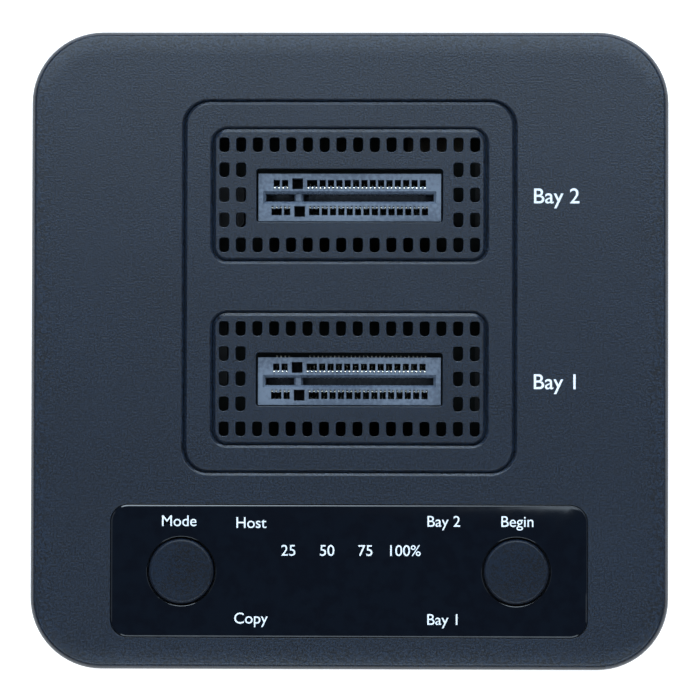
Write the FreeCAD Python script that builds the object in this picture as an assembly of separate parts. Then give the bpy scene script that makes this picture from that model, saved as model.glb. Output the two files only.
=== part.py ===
import FreeCAD, Part

import math
import os

from FreeCAD import Vector

# Desktop duplicator for two upright M.2 drives: a square clamshell case, two M-key card sockets
# standing in perforated plates, a gloss control panel with two push buttons, and the ports at the rear.
# Frame: +Z up, +Y to the rear, +X to the right, origin on the desk under the middle of the case.
# Millimetres throughout.

# ---- Case ----------------------------------------------------------------------------------------
CASE_WIDTH = 76.25
CASE_DEPTH = 76.25
CASE_HEIGHT = 26.0
CORNER_RADIUS = 8.5
WALL = 2.0
CEILING = 2.2
FLOOR = 2.0
BASE_CHAMFER = (2.0, 3.2)   # the base's undercut lower edge: across, up
EDGE_CHAMFER = (0.45, 0.7)  # the cover's upper edge: across, down
ROLL_WIDTH = 2.4            # the top face falls away towards that edge
ROLL_DROP = 0.15
INNER_EASE = 4.2            # cut-off inner corners of both shells
SHADOW_GAP = 0.4            # groove that hides the joint between the two shells
TONGUE = 0.8                # tongues on the base's walls, which locate the cover
TONGUE_HEIGHT = 1.2
TONGUE_LENGTH = 40.0
FIT = 0.1                   # clearance between moulded pieces that nest
HIDDEN_SIDES = 6            # flats on round pieces that the closed case hides
CUT_OVER = 1.0              # cutting tools reach this far beyond the faces they cut
SAME_PLACE = 1e-6
QUARTER_TURN = 90.0

# ---- Feet and screws -----------------------------------------------------------------------------
FOOT_WIDTH = 9.0
FOOT_EASE = 1.6             # its cut-off corners
FOOT_HEIGHT = 1.5
CASE_SCREW_INSET = 7.7      # from the case side to the screw's axis, where a foot covers its head
CASE_SCREW_RADIUS = 1.3
CASE_SCREW_HEAD_RADIUS = 2.4
CASE_SCREW_HEAD = 1.5
CASE_SCREW_LENGTH = 16.0
CASE_BOSS_RADIUS = 3.0
CASE_POST_RADIUS = 3.6
SCREW_CLEARANCE = 0.15
PILOT_SPARE = 0.5           # pilot holes are this much deeper than their screws
BOSS_DROP = 1.0             # the cover's bosses reach this far below the board
CASE_SCREW_SINK = 2.0       # how far the heads are sunk below the base's underside

# ---- Circuit board -------------------------------------------------------------------------------
BOARD_SIDE_MARGIN = 1.0     # room between the board's edges and the walls
BOARD_FRONT_MARGIN = 1.5
BOARD_REAR_MARGIN = 0.8
BOARD_THICKNESS = 1.6
BOARD_NOTCH_CLEARANCE = 0.7
BOARD_SCREW_INSET = 7.0     # from the case side
BOARD_SCREW_Y = 12.5
BOARD_SCREW_RADIUS = 1.0
BOARD_SCREW_HEAD_RADIUS = 2.0
BOARD_SCREW_HEAD = 1.3
BOARD_SCREW_LENGTH = 6.5
STANDOFF_RADIUS = 2.6
PILLAR_WIDTH = 5.0

# ---- Drive bays ----------------------------------------------------------------------------------
BAY_CENTRE_Y = 7.57
BAY_PITCH = 22.0
BAY_MARGIN_X = 3.4          # bay plate beyond the grilles
BAY_MARGIN_Y = 3.3
BAY_PLATE_RADIUS = 2.9
BAY_RIM = 1.1               # thickness of the plate's rim, which lies on the cover's ledge
BAY_LEDGE = 1.2
GRILLE_MARGIN_X = 0.74      # grille beyond its outermost vents
GRILLE_MARGIN_Y = 1.01
GRILLE_RADIUS = 1.7
GRILLE_THICKNESS = 1.2
GRILLE_LEDGE = 0.6
GROOVE_CHAMFER = 0.3        # both edges of every joint in the top face are eased by this much
HOOK_WIDTH = 4.0
HOOK_THICKNESS = 0.8
HOOK_DROP = 1.6
HOOK_BARB = 0.5
HOOK_SPREAD = 12.0
VENT_WIDTH = 1.12
VENT_DEPTH = 1.68
VENT_PITCH_X = 2.0
VENT_PITCH_Y = 3.0
VENT_COLUMNS = 16
VENT_ROWS = 5
VENT_SIDE_COLUMNS = 2       # columns kept at each end of the rows beside the socket
OPENING_EASE = 0.4          # cut-off corners of the opening for the socket
OPENING_OFFSET_Y = -0.065

# ---- M.2 sockets ---------------------------------------------------------------------------------
SOCKET_DEPTH = 5.7
SOCKET_END_WALL = 0.88
SOCKET_HEIGHT = 9.2
SOCKET_SINK = 0.7           # socket's top below the top face
SOCKET_OFFSET_Y = -0.28
SOCKET_GAP_X = 0.23
SOCKET_GAP_Y = 0.365
SOCKET_STANDOFF = 0.25      # feet at the socket's ends lift the rest off the board
SOCKET_FOOT = 0.9
CARD_SLOT_MARGIN = 0.55     # card slot beyond the last contact position
CARD_SLOT_THICKNESS = 0.9
CARD_SLOT_DEEP = 6.0
LEAD_IN = 0.32              # bevel round the mouth of the card slot
LEAD_IN_DEPTH = 0.5
CONTACT_PITCH = 0.5
CONTACT_WIDTH = 0.24
CONTACT_THICKNESS = 0.25
CONTACT_BUMP = 0.1          # how far a contact stands into the card slot
CONTACT_BUMP_SINK = 2.7     # bump below the socket's top
CONTACT_TIP_SINK = 0.15
EVEN_POSITIONS = 37
ODD_POSITIONS = 38
KEY_FIRST_POSITIONS = 4     # contacts on the key's short side, in the even row
KEY_POSITIONS = 4           # positions that the key takes up on each side
KEY_RIB = 1.05
WINDOW_DEPTH = 0.92
WINDOW_MARGIN = 0.125       # window beyond the axis of its outermost contact
WINDOW_INSET = 0.75         # from the card slot's wall to the windows
WINDOW_WEB_HEIGHT = 1.4     # height of the webs between the windows
KEY_POCKET = 1.3            # square pockets where the key leaves contacts out
KEY_POCKET_DEEP = 6.0

# ---- Control panel and buttons -------------------------------------------------------------------
PANEL_WIDTH = 56.8
PANEL_DEPTH = 15.7
PANEL_RADIUS = 2.0
PANEL_THICKNESS = 0.9
PANEL_CENTRE_Y = -26.39
PANEL_GAP = 0.12
TAPE_THICKNESS = 0.1
TAPE_INSET = 0.6
BUTTON_X = 20.0
BUTTON_Y = -26.43
BUTTON_RADIUS = 3.9
BUTTON_CLEARANCE = 0.25
BUTTON_PROUD = 0.35
BUTTON_EDGE = 0.3
BUTTON_TRAVEL = 0.5
BUTTON_FLANGE = 0.9         # how far the square retaining flange reaches beyond the cap
BUTTON_FLANGE_THICKNESS = 0.8
BUTTON_STEM = 3.0
COLLAR_WALL = 0.9
COLLAR_DEPTH = 2.4
SWITCH_SIZE = 6.0
SWITCH_BODY_HEIGHT = 3.5
SWITCH_LEAD_WIDTH = 0.7
SWITCH_LEAD_REACH = 1.2
SWITCH_LEAD_THICKNESS = 0.3
SWITCH_LEAD_SPREAD = 2.25
PLUNGER_WIDTH = 2.4
PLUNGER_HEIGHT = 0.9        # above the switch's body
PLUNGER_DEPTH = 0.8         # inside the switch's body

# ---- Indicator lamps -----------------------------------------------------------------------------
LAMP_SIZE = (1.6, 0.8, 0.6)
LAMP_COLUMN_INSETS = (8.3, 8.6)  # lamp columns from the buttons' axes, left and right
LAMP_COLUMN_PITCH = 6.7
SCALE_LAMPS = 4
SCALE_LAMP_INSET = 4.5      # first lamp of the scale from the left column
SCALE_LAMP_PITCH = 4.6
SCALE_LAMP_DROP = 0.45      # the scale's lamps in front of the buttons' line
GUIDE_WIDTH = 1.6
GUIDE_WEB = 0.9
GUIDE_WEB_MARGIN = 0.6
GUIDE_LAMP_GAP = 0.4
GUIDE_STAKE = 1.2           # width of the cover's pins that the web is staked on
GUIDE_STAKE_STAND = 0.5     # how far they stand through it

# ---- Ports at the rear ---------------------------------------------------------------------------
PORT_FACE_SINK = 0.4        # port faces below the rear wall
PORT_CLEARANCE = 0.35
USB_X = 2.0
USB_WIDTH = 8.94
USB_HEIGHT = 3.26
USB_LENGTH = 7.4
USB_OPENING_EASE = 1.1      # cut-off corners of the wall's opening
USB_SHELL = 0.3
USB_BACK = 0.8
USB_TONGUE_WIDTH = 6.7
USB_TONGUE_THICKNESS = 0.7
USB_TONGUE_SINK = 0.8
JACK_X = -15.0
JACK_WIDTH = 9.0
JACK_HEIGHT = 7.0
JACK_LENGTH = 12.0
JACK_BORE_RADIUS = 2.85
JACK_BORE_DEPTH = 9.5
JACK_PIN_RADIUS = 1.0
JACK_PIN_SINK = 0.8
JACK_LEAF_WIDTH = 1.8
JACK_LEAF_THICKNESS = 0.3
POWER_X = 17.0
POWER_WIDTH = 9.0
POWER_HEIGHT = 3.8
POWER_LENGTH = 3.8
POWER_KNOB_WIDTH = 2.4
POWER_KNOB_HEIGHT = 1.8
POWER_TRAVEL = 2.0
POWER_WINDOW_MARGIN = 0.5
POWER_CARRIAGE = 1.0        # the part of the slider that runs inside the switch's body
POWER_RUN_GAP = 0.1
POWER_KNOB_SINK = 0.3       # knob's tip below the rear wall's face
POWER_KNOB_EASE = 0.15
POWER_FRONT_WALL = 1.0      # between the track and the rear wall

# ---- Parts on the board --------------------------------------------------------------------------
BRIDGE_CHIP = (9.0, 9.0, 0.9)
BRIDGE_CHIP_X = 19.5
CONTROLLER_CHIP = (12.0, 12.0, 1.2)
CONTROLLER_CHIP_AT = (-21.0, 2.0)
MEMORY_CHIP = (5.2, 4.0, 1.5)
MEMORY_CHIP_AT = (-20.5, -8.5)
COIL = (5.2, 5.2, 3.0)
COIL_CORNER = 0.65
COIL_AT = ((-24.0, 23.5), (-15.5, 17.5))
BLOCK_CAPACITOR = (7.3, 4.3, 2.9)
BLOCK_CAPACITOR_AT = (10.5, 25.8)
EDGE_PART_INSET = 6.0       # from the board's side edges to the parts beside them
EDGE_COIL_Y = 6.0
EDGE_CAPACITOR_Y = (18.0, -20.5)  # left edge, right edge
CRYSTAL = (3.2, 2.5, 0.8)
CRYSTAL_AT = ((-12.8, 8.0), (14.5, 8.0))
CHIP_CAPACITOR = (1.6, 0.8, 0.8)
CAPACITOR_ROW_COUNT = 3
CAPACITOR_PITCH = 2.4
CAPACITOR_ROWS = ((-9.0, 10.5), (-9.0, 4.8), (2.0, 10.5), (2.0, 4.8))

# ---- Base vents ----------------------------------------------------------------------------------
BASE_VENT_WIDTH = 1.8
BASE_VENT_LENGTH = 18.0
BASE_VENT_PITCH = 4.0
BASE_VENT_COUNT = 4
BASE_VENT_FIRST_X = 7.0
BASE_VENT_Y = 2.0

# ---- Heights that follow from the sizes above ----------------------------------------------------
top_z = CASE_HEIGHT
ceiling_z = top_z - CEILING
base_z = FOOT_HEIGHT
floor_z = base_z + FLOOR
socket_top_z = top_z - SOCKET_SINK
board_top_z = socket_top_z - SOCKET_HEIGHT
board_z = board_top_z - BOARD_THICKNESS
usb_z = board_top_z + USB_HEIGHT / 2
split_z = usb_z                              # the shells meet at the middle of the USB port
recess_z = top_z - PANEL_THICKNESS - TAPE_THICKNESS
boss_z = board_z - BOSS_DROP                 # the cover's bosses meet the base's posts here
rear_y = CASE_DEPTH / 2
port_face_y = rear_y - PORT_FACE_SINK
inner_rear_y = rear_y - WALL - FIT
grille_width = (VENT_COLUMNS - 1) * VENT_PITCH_X + VENT_WIDTH + 2 * GRILLE_MARGIN_X
grille_depth = (VENT_ROWS - 1) * VENT_PITCH_Y + VENT_DEPTH + 2 * GRILLE_MARGIN_Y
bay_plate_width = grille_width + 2 * BAY_MARGIN_X
bay_plate_depth = grille_depth + BAY_PITCH + 2 * BAY_MARGIN_Y
card_slot_width = ODD_POSITIONS * CONTACT_PITCH + 2 * CARD_SLOT_MARGIN
socket_width = card_slot_width + 2 * SOCKET_END_WALL
lamp_columns = (LAMP_COLUMN_INSETS[0] - BUTTON_X, BUTTON_X - LAMP_COLUMN_INSETS[1])
lamp_rows = (BUTTON_Y + LAMP_COLUMN_PITCH / 2, BUTTON_Y - LAMP_COLUMN_PITCH / 2)
case_screw_x = CASE_WIDTH / 2 - CASE_SCREW_INSET
case_screw_y = CASE_DEPTH / 2 - CASE_SCREW_INSET
board_screw_x = CASE_WIDTH / 2 - BOARD_SCREW_INSET
board_half_width = CASE_WIDTH / 2 - WALL - BOARD_SIDE_MARGIN
edge_part_x = board_half_width - EDGE_PART_INSET
bays = {"target": BAY_CENTRE_Y + BAY_PITCH / 2, "source": BAY_CENTRE_Y - BAY_PITCH / 2}
buttons = {"mode": -BUTTON_X, "start": BUTTON_X}


# ---- Shapes that the pieces are made from --------------------------------------------------------
def block(x0, x1, y0, y1, z0, z1):
    return Part.makeBox(x1 - x0, y1 - y0, z1 - z0, Vector(x0, y0, z0))


def centred_block(x, y, z0, size):
    """A block of the given size, centred on x, y and standing on z0."""
    width, depth, height = size
    return block(x - width / 2, x + width / 2, y - depth / 2, y + depth / 2, z0, z0 + height)


def post(x, y, z0, z1, radius):
    return Part.makeCylinder(radius, z1 - z0, Vector(x, y, z0))


def hidden_post(x, y, z0, z1, radius):
    """A post or hole hidden by the closed case, with flats at the given radius, not a round wall."""
    reach = radius / math.cos(math.pi / HIDDEN_SIDES)
    turns = [(i + 0.5) * 2 * math.pi / HIDDEN_SIDES for i in range(HIDDEN_SIDES)]
    outline = [(x + reach * math.cos(turn), y + reach * math.sin(turn)) for turn in turns]
    return upright_prism(outline, z0, z1)


def upright_prism(outline, z0, z1):
    points = [Vector(x, y, z0) for x, y in outline]
    return Part.Face(Part.makePolygon(points + points[:1])).extrude(Vector(0, 0, z1 - z0))


def eased_block(x, y, width, depth, ease, z0, z1):
    """An upright block, centred on x, y, with its four corners cut off."""
    outline = []
    for sx, sy in ((1, 1), (-1, 1), (-1, -1), (1, -1)):
        corner_x, corner_y = x + sx * width / 2, y + sy * depth / 2
        beside, along = (corner_x, corner_y - sy * ease), (corner_x - sx * ease, corner_y)
        outline += [beside, along] if sx * sy > 0 else [along, beside]
    return upright_prism(outline, z0, z1)


def rod_y(x, z, y0, y1, radius):
    return Part.makeCylinder(radius, y1 - y0, Vector(x, y0, z), Vector(0, 1, 0))


def rounded_plate(x, y, width, depth, radius, z0, z1):
    """A flat plate with rounded corners, centred on x, y."""
    left, right, front, rear = x - width / 2, x + width / 2, y - depth / 2, y + depth / 2
    corners = (
        (right - radius, rear - radius), (left + radius, rear - radius),
        (left + radius, front + radius), (right - radius, front + radius),
    )
    quarter = math.radians(QUARTER_TURN)
    arcs = [
        Part.ArcOfCircle(
            Part.Circle(Vector(cx, cy, z0), Vector(0, 0, 1), radius), i * quarter, (i + 1) * quarter
        ).toShape()
        for i, (cx, cy) in enumerate(corners)
    ]
    edges = []
    for i, arc in enumerate(arcs):
        after = arcs[(i + 1) % len(arcs)]
        edges += [arc, Part.makeLine(arc.Vertexes[-1].Point, after.Vertexes[0].Point)]
    return Part.Face(Part.Wire(edges)).extrude(Vector(0, 0, z1 - z0))


def bevelled_plate(x, y, width, depth, radius, z0, z1, bevel):
    """A rounded plate whose upper edge is chamfered."""
    plate = rounded_plate(x, y, width, depth, radius, z0, z1)
    return plate.makeChamfer(bevel, level_edges(plate, z1))


def level_edges(shape, z):
    """The shape's edges that lie level at this height."""
    return [edge for edge in shape.Edges if all(abs(v.Z - z) < SAME_PLACE for v in edge.Vertexes)]


def moulded_block(profile):
    """A casing's outside: the profile runs round all four sides and turns about each corner's axis.

    The profile's points are (distance from the corner's axis, z), so CORNER_RADIUS is the case's side.
    """
    points = [Vector(x, 0, z) for x, z in profile]
    face = Part.Face(Part.makePolygon(points + points[:1]))
    half_x, half_y = CASE_WIDTH / 2 - CORNER_RADIUS, CASE_DEPTH / 2 - CORNER_RADIUS
    low, high = min(z for _, z in profile), max(z for _, z in profile)
    sides, ends = (half_x, half_y), (half_y, half_x)
    pieces = []
    for quarters, (across, along) in enumerate((sides, ends, sides, ends)):
        side = face.copy()
        side.translate(Vector(across, -along, 0))
        side = side.extrude(Vector(0, 2 * along, 0))
        corner = face.revolve(Vector(0, 0, 0), Vector(0, 0, 1), QUARTER_TURN)
        corner.translate(Vector(across, along, 0))
        for piece in (side, corner):
            piece.rotate(Vector(0, 0, 0), Vector(0, 0, 1), quarters * QUARTER_TURN)
            pieces.append(piece)
    return block(-half_x, half_x, -half_y, half_y, low, high).fuse(pieces).removeSplitter()


def corner_points(x, y):
    return [(sx * x, sy * y) for sx in (-1, 1) for sy in (-1, 1)]


def together(shapes):
    return Part.makeCompound(shapes)


# ---- Openings that both shells share -------------------------------------------------------------
def port_openings():
    """Tools that cut the rear wall for the USB port, the power jack and the slide switch's knob."""
    inside_y, outside_y = inner_rear_y - FIT, rear_y + CUT_OVER
    margin = 2 * PORT_CLEARANCE
    usb = eased_block(
        USB_X, 0, USB_WIDTH + margin, USB_HEIGHT + margin,
        USB_OPENING_EASE, 0, outside_y - inside_y,
    )
    usb.rotate(Vector(0, 0, 0), Vector(1, 0, 0), QUARTER_TURN)
    usb.translate(Vector(0, outside_y, usb_z))
    jack_half = JACK_WIDTH / 2 + PORT_CLEARANCE
    jack = block(
        JACK_X - jack_half, JACK_X + jack_half, inside_y, outside_y,
        board_top_z - PORT_CLEARANCE, board_top_z + JACK_HEIGHT + PORT_CLEARANCE,
    )
    left, right, low, high = power_window()
    return [usb, jack, block(left, right, inside_y, outside_y, low, high)]


def jack_z():
    return board_top_z + JACK_HEIGHT / 2


def power_window():
    """Left, right, lower and upper limits of the slide switch's window."""
    half = POWER_KNOB_WIDTH / 2 + POWER_TRAVEL / 2 + POWER_WINDOW_MARGIN
    rise = POWER_KNOB_HEIGHT / 2 + POWER_WINDOW_MARGIN / 2
    return POWER_X - half, POWER_X + half, power_z() - rise, power_z() + rise


def power_z():
    return board_top_z + POWER_HEIGHT / 2


# ---- Top cover -----------------------------------------------------------------------------------
def cover_form():
    """The cover's outside: upright walls, a chamfered edge, a top face that falls away towards it."""
    edge_z = top_z - ROLL_DROP
    edge_x = CORNER_RADIUS - EDGE_CHAMFER[0]
    return moulded_block([
        (0, split_z),
        (CORNER_RADIUS, split_z),
        (CORNER_RADIUS, edge_z - EDGE_CHAMFER[1]),
        (edge_x, edge_z),
        (edge_x - ROLL_WIDTH, top_z),
        (0, top_z),
    ])


def inside_form(z0, z1):
    """The room inside the walls."""
    return eased_block(0, 0, CASE_WIDTH - 2 * WALL, CASE_DEPTH - 2 * WALL, INNER_EASE, z0, z1)


def tongues(clearance):
    """The straight tongues along the four walls, or with a clearance, the grooves that take them."""
    inner_x, inner_y = CASE_WIDTH / 2 - WALL, CASE_DEPTH / 2 - WALL
    half = TONGUE_LENGTH / 2 + clearance
    low, high = split_z - WALL, split_z + TONGUE_HEIGHT + clearance
    bars = []
    for side in (-1, 1):
        xs = sorted((side * (inner_x - clearance), side * (inner_x + TONGUE + clearance)))
        ys = sorted((side * (inner_y - clearance), side * (inner_y + TONGUE + clearance)))
        bars += [block(*xs, -half, half, low, high), block(-half, half, *ys, low, high)]
    return bars


def make_top_cover():
    cover = cover_form()
    panel_recess = rounded_plate(
        0, PANEL_CENTRE_Y, PANEL_WIDTH + 2 * PANEL_GAP, PANEL_DEPTH + 2 * PANEL_GAP,
        PANEL_RADIUS + PANEL_GAP, recess_z, top_z + CUT_OVER,
    )
    bay_opening = inset_opening(
        0, BAY_CENTRE_Y, bay_plate_width, bay_plate_depth, BAY_PLATE_RADIUS, BAY_RIM, BAY_LEDGE
    )
    inside = inside_form(split_z - CUT_OVER, ceiling_z)
    cover = cover.cut([inside, panel_recess] + tongues(FIT) + bay_opening)
    screws = corner_points(case_screw_x, case_screw_y)
    cover = cover.fuse(
        [button_collar(x) for x in buttons.values()]
        + [hidden_post(x, y, boss_z, ceiling_z, CASE_BOSS_RADIUS) for x, y in screws]
        + [centred_block(x, y, guide_stake_z(), (GUIDE_STAKE, GUIDE_STAKE, ceiling_z - guide_stake_z()))
           for x, y in guide_stakes()]
    )
    button_bore = BUTTON_RADIUS + BUTTON_CLEARANCE
    screw_bore = CASE_SCREW_RADIUS + FIT / 2
    low = ceiling_z - CUT_OVER
    guide_bore = (GUIDE_WIDTH + 2 * FIT, GUIDE_WIDTH + 2 * FIT, recess_z - low)
    holes = [hidden_post(x, BUTTON_Y, low, recess_z, button_bore) for x in buttons.values()]
    holes += [hidden_post(x, y, boss_z, case_screw_tip() + PILOT_SPARE, screw_bore) for x, y in screws]
    holes += [centred_block(x, y, low, guide_bore) for x, y in lamp_places()]
    return cover.cut(holes + port_openings()).removeSplitter()


def button_collar(x):
    """A square collar under the cover, which guides a button's flange."""
    bore = 2 * (BUTTON_RADIUS + BUTTON_FLANGE + BUTTON_CLEARANCE)
    outside = bore + 2 * COLLAR_WALL
    low = ceiling_z - COLLAR_DEPTH
    collar = centred_block(x, BUTTON_Y, low, (outside, outside, COLLAR_DEPTH))
    return collar.cut(centred_block(x, BUTTON_Y, low, (bore, bore, COLLAR_DEPTH)))


def inset_opening(x, y, width, depth, radius, rim, ledge):
    """Tools for a stepped opening: bevelled mouth, pocket for a rim, and a hole inside its ledge."""
    grown = GROOVE_CHAMFER + FIT
    mouth_z = top_z - GROOVE_CHAMFER
    mouth = rounded_plate(
        x, y, width + 2 * grown, depth + 2 * grown, radius + grown, mouth_z, top_z + CUT_OVER
    )
    mouth = mouth.makeChamfer(GROOVE_CHAMFER, level_edges(mouth, mouth_z))
    pocket = rounded_plate(
        x, y, width + 2 * FIT, depth + 2 * FIT, radius + FIT, top_z - rim, top_z
    )
    low = ceiling_z - CUT_OVER
    hole = centred_block(x, y, low, (width - 2 * ledge, depth - 2 * ledge, top_z - low))
    return [mouth, pocket, hole]


# ---- Bay plate and vent grilles ------------------------------------------------------------------
def make_bay_plate():
    """The plate that carries the grilles. Its rim lies on the cover's ledge and four hooks hold it."""
    rim = bevelled_plate(
        0, BAY_CENTRE_Y, bay_plate_width, bay_plate_depth, BAY_PLATE_RADIUS,
        top_z - BAY_RIM, top_z, GROOVE_CHAMFER,
    )
    step = BAY_LEDGE + FIT
    body_width = bay_plate_width - 2 * step
    body_size = (body_width, bay_plate_depth - 2 * step, CEILING - BAY_RIM)
    body = centred_block(0, BAY_CENTRE_Y, ceiling_z, body_size)
    hooks = []
    for side in (-1, 1):
        for y in (BAY_CENTRE_Y - HOOK_SPREAD, BAY_CENTRE_Y + HOOK_SPREAD):
            outer = side * body_width / 2
            inner = outer - side * HOOK_THICKNESS
            barb = outer + side * (FIT + HOOK_BARB)
            arm = [
                (inner, ceiling_z), (outer, ceiling_z), (outer, ceiling_z - FIT / 2),
                (barb, ceiling_z - FIT / 2), (inner + side * HOOK_THICKNESS / 2, ceiling_z - HOOK_DROP),
                (inner, ceiling_z - HOOK_DROP),
            ]
            points = [Vector(px, y - HOOK_WIDTH / 2, z) for px, z in arm]
            face = Part.Face(Part.makePolygon(points + points[:1]))
            hooks.append(face.extrude(Vector(0, HOOK_WIDTH, 0)))
    plate = rim.fuse([body] + hooks)
    for y in bays.values():
        plate = plate.cut(inset_opening(
            0, y, grille_width, grille_depth, GRILLE_RADIUS, GRILLE_THICKNESS, GRILLE_LEDGE
        ))
    return plate.removeSplitter()


def vent_places():
    """Vent centres from the grille's middle: full rows front and rear, short rows beside the socket."""
    places = []
    for row in range(VENT_ROWS):
        for column in range(VENT_COLUMNS):
            at_side = min(column, VENT_COLUMNS - 1 - column) < VENT_SIDE_COLUMNS
            if row in (0, VENT_ROWS - 1) or at_side:
                places.append((
                    (column - (VENT_COLUMNS - 1) / 2) * VENT_PITCH_X,
                    (row - (VENT_ROWS - 1) / 2) * VENT_PITCH_Y,
                ))
    return places


def vent_hole(x, y):
    low, high = top_z - GRILLE_THICKNESS - CUT_OVER, top_z + CUT_OVER
    return centred_block(x, y, low, (VENT_WIDTH, VENT_DEPTH, high - low))


def make_grille(bay_y):
    """A perforated plate, bonded on the bay plate's ledge, with the opening that the socket stands in."""
    plate = bevelled_plate(
        0, bay_y, grille_width, grille_depth, GRILLE_RADIUS,
        top_z - GRILLE_THICKNESS, top_z, GROOVE_CHAMFER,
    )
    opening = eased_block(
        0, bay_y + OPENING_OFFSET_Y, socket_width + 2 * SOCKET_GAP_X, SOCKET_DEPTH + 2 * SOCKET_GAP_Y,
        OPENING_EASE, top_z - GRILLE_THICKNESS - CUT_OVER, top_z + CUT_OVER,
    )
    return plate.cut([opening] + [vent_hole(x, bay_y + y) for x, y in vent_places()])


# ---- M.2 sockets ---------------------------------------------------------------------------------
def socket_places(positions):
    """Contact positions along one side of the socket, split by the key into a short and a long run."""
    short = KEY_FIRST_POSITIONS + (positions - EVEN_POSITIONS)
    places = [(i - (positions - 1) / 2) * CONTACT_PITCH for i in range(positions)]
    return places[:short], places[short + KEY_POSITIONS:]


def windows(run):
    """The contacts of a run share windows two by two. An odd run starts with a window for three."""
    first = 2 + len(run) % 2
    groups = [run[:first]]
    for i in range(first, len(run), 2):
        groups.append(run[i:i + 2])
    return groups


def socket_sides():
    """Each side of a socket: the rear side, +1, has the even positions and the front, -1, the odd."""
    return ((1, EVEN_POSITIONS), (-1, ODD_POSITIONS))


def key_x(positions):
    short, long = socket_places(positions)
    return (short[-1] + long[0]) / 2


def contact_face(z):
    """How far a contact's inner face is from the middle of the card slot, below its bump."""
    root = CARD_SLOT_THICKNESS / 2 + WINDOW_INSET
    bump = CARD_SLOT_THICKNESS / 2 - CONTACT_BUMP
    bump_z = socket_top_z - CONTACT_BUMP_SINK
    return root + (bump - root) * (z - board_top_z) / (bump_z - board_top_z)


def sideways_prism(y, side, outline, x0, x1):
    """A prism along X. The outline's points are (distance from y towards the given side, z)."""
    points = [Vector(x0, y + side * across, z) for across, z in outline]
    return Part.Face(Part.makePolygon(points + points[:1])).extrude(Vector(x1 - x0, 0, 0))


def make_socket(bay_y):
    """A socket's housing: card slot and key rib, and on each side windows over the contacts' gallery."""
    y = bay_y + SOCKET_OFFSET_Y
    bottom = board_top_z + SOCKET_STANDOFF
    half_slot, half_gap = card_slot_width / 2, CARD_SLOT_THICKNESS / 2
    inner = half_gap + WINDOW_INSET
    outer = inner + WINDOW_DEPTH
    rib_x = (key_x(EVEN_POSITIONS) + key_x(ODD_POSITIONS)) / 2
    slot_z = socket_top_z - CARD_SLOT_DEEP
    web_z = socket_top_z - WINDOW_WEB_HEIGHT
    bar_z = socket_top_z - CONTACT_BUMP_SINK + 2 * CONTACT_THICKNESS
    housing = centred_block(0, y, bottom, (socket_width, SOCKET_DEPTH, socket_top_z - bottom))
    foot = (SOCKET_FOOT, SOCKET_DEPTH / 2, SOCKET_STANDOFF)
    foot_x = (socket_width - SOCKET_FOOT) / 2
    feet = [centred_block(side * foot_x, y, board_top_z, foot) for side in (-1, 1)]
    tools = [
        block(-half_slot, rib_x - KEY_RIB / 2, y - half_gap, y + half_gap, slot_z, socket_top_z),
        block(rib_x + KEY_RIB / 2, half_slot, y - half_gap, y + half_gap, slot_z, socket_top_z),
        lead_in(y),
    ]
    gallery = [
        (contact_face(bottom), bottom), (contact_face(slot_z), slot_z),
        (half_gap / 2, slot_z), (half_gap / 2, bar_z), (half_gap, bar_z),
        (inner, socket_top_z - CONTACT_TIP_SINK), (inner, web_z), (outer, web_z), (outer, bottom),
    ]
    pocket = (KEY_POCKET, KEY_POCKET, KEY_POCKET_DEEP)
    for side, positions in socket_sides():
        window_ys = sorted((y + side * inner, y + side * outer))
        for run in socket_places(positions):
            left, right = run[0] - WINDOW_MARGIN, run[-1] + WINDOW_MARGIN
            tools.append(sideways_prism(y, side, gallery, left, right))
            for group in windows(run):
                left, right = group[0] - WINDOW_MARGIN, group[-1] + WINDOW_MARGIN
                tools.append(block(left, right, *window_ys, web_z, socket_top_z))
        tools.append(centred_block(
            key_x(positions), y + side * (inner + outer) / 2, socket_top_z - KEY_POCKET_DEEP, pocket
        ))
    return housing.fuse(feet).cut(tools)


def lead_in(y):
    """The bevelled mouth of the card slot."""
    half_x, half_y = card_slot_width / 2, CARD_SLOT_THICKNESS / 2
    loops = []
    for grow, z in ((0, socket_top_z - LEAD_IN_DEPTH), (LEAD_IN, socket_top_z)):
        corners = [
            Vector(sx * (half_x + grow), y + sy * (half_y + grow), z)
            for sx, sy in ((-1, -1), (1, -1), (1, 1), (-1, 1))
        ]
        loops.append(Part.makePolygon(corners + corners[:1]))
    return Part.makeLoft(loops, True, True)


def make_contacts(bay_y):
    """A socket's contacts: blades from the board, bent into the card slot and out again to their tips."""
    y = bay_y + SOCKET_OFFSET_Y
    root = contact_face(board_top_z)
    bump_z = socket_top_z - CONTACT_BUMP_SINK
    bump = contact_face(bump_z)
    outline = [
        (root, board_top_z), (root + CONTACT_THICKNESS, board_top_z),
        (bump + CONTACT_THICKNESS, bump_z),
        (root + CONTACT_THICKNESS, socket_top_z - CONTACT_TIP_SINK),
        (bump, bump_z),
    ]
    return together([
        sideways_prism(y, side, outline, x - CONTACT_WIDTH / 2, x + CONTACT_WIDTH / 2)
        for side, positions in socket_sides() for run in socket_places(positions) for x in run
    ])


# ---- Control panel, buttons and lamps ------------------------------------------------------------
def make_control_panel():
    """The gloss panel, drilled for the two buttons and closed over the lamps, which shine through it."""
    panel = rounded_plate(
        0, PANEL_CENTRE_Y, PANEL_WIDTH, PANEL_DEPTH, PANEL_RADIUS, recess_z + TAPE_THICKNESS, top_z
    )
    bore = BUTTON_RADIUS + BUTTON_CLEARANCE
    return panel.cut([post(x, BUTTON_Y, recess_z, top_z + CUT_OVER, bore) for x in buttons.values()])


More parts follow.
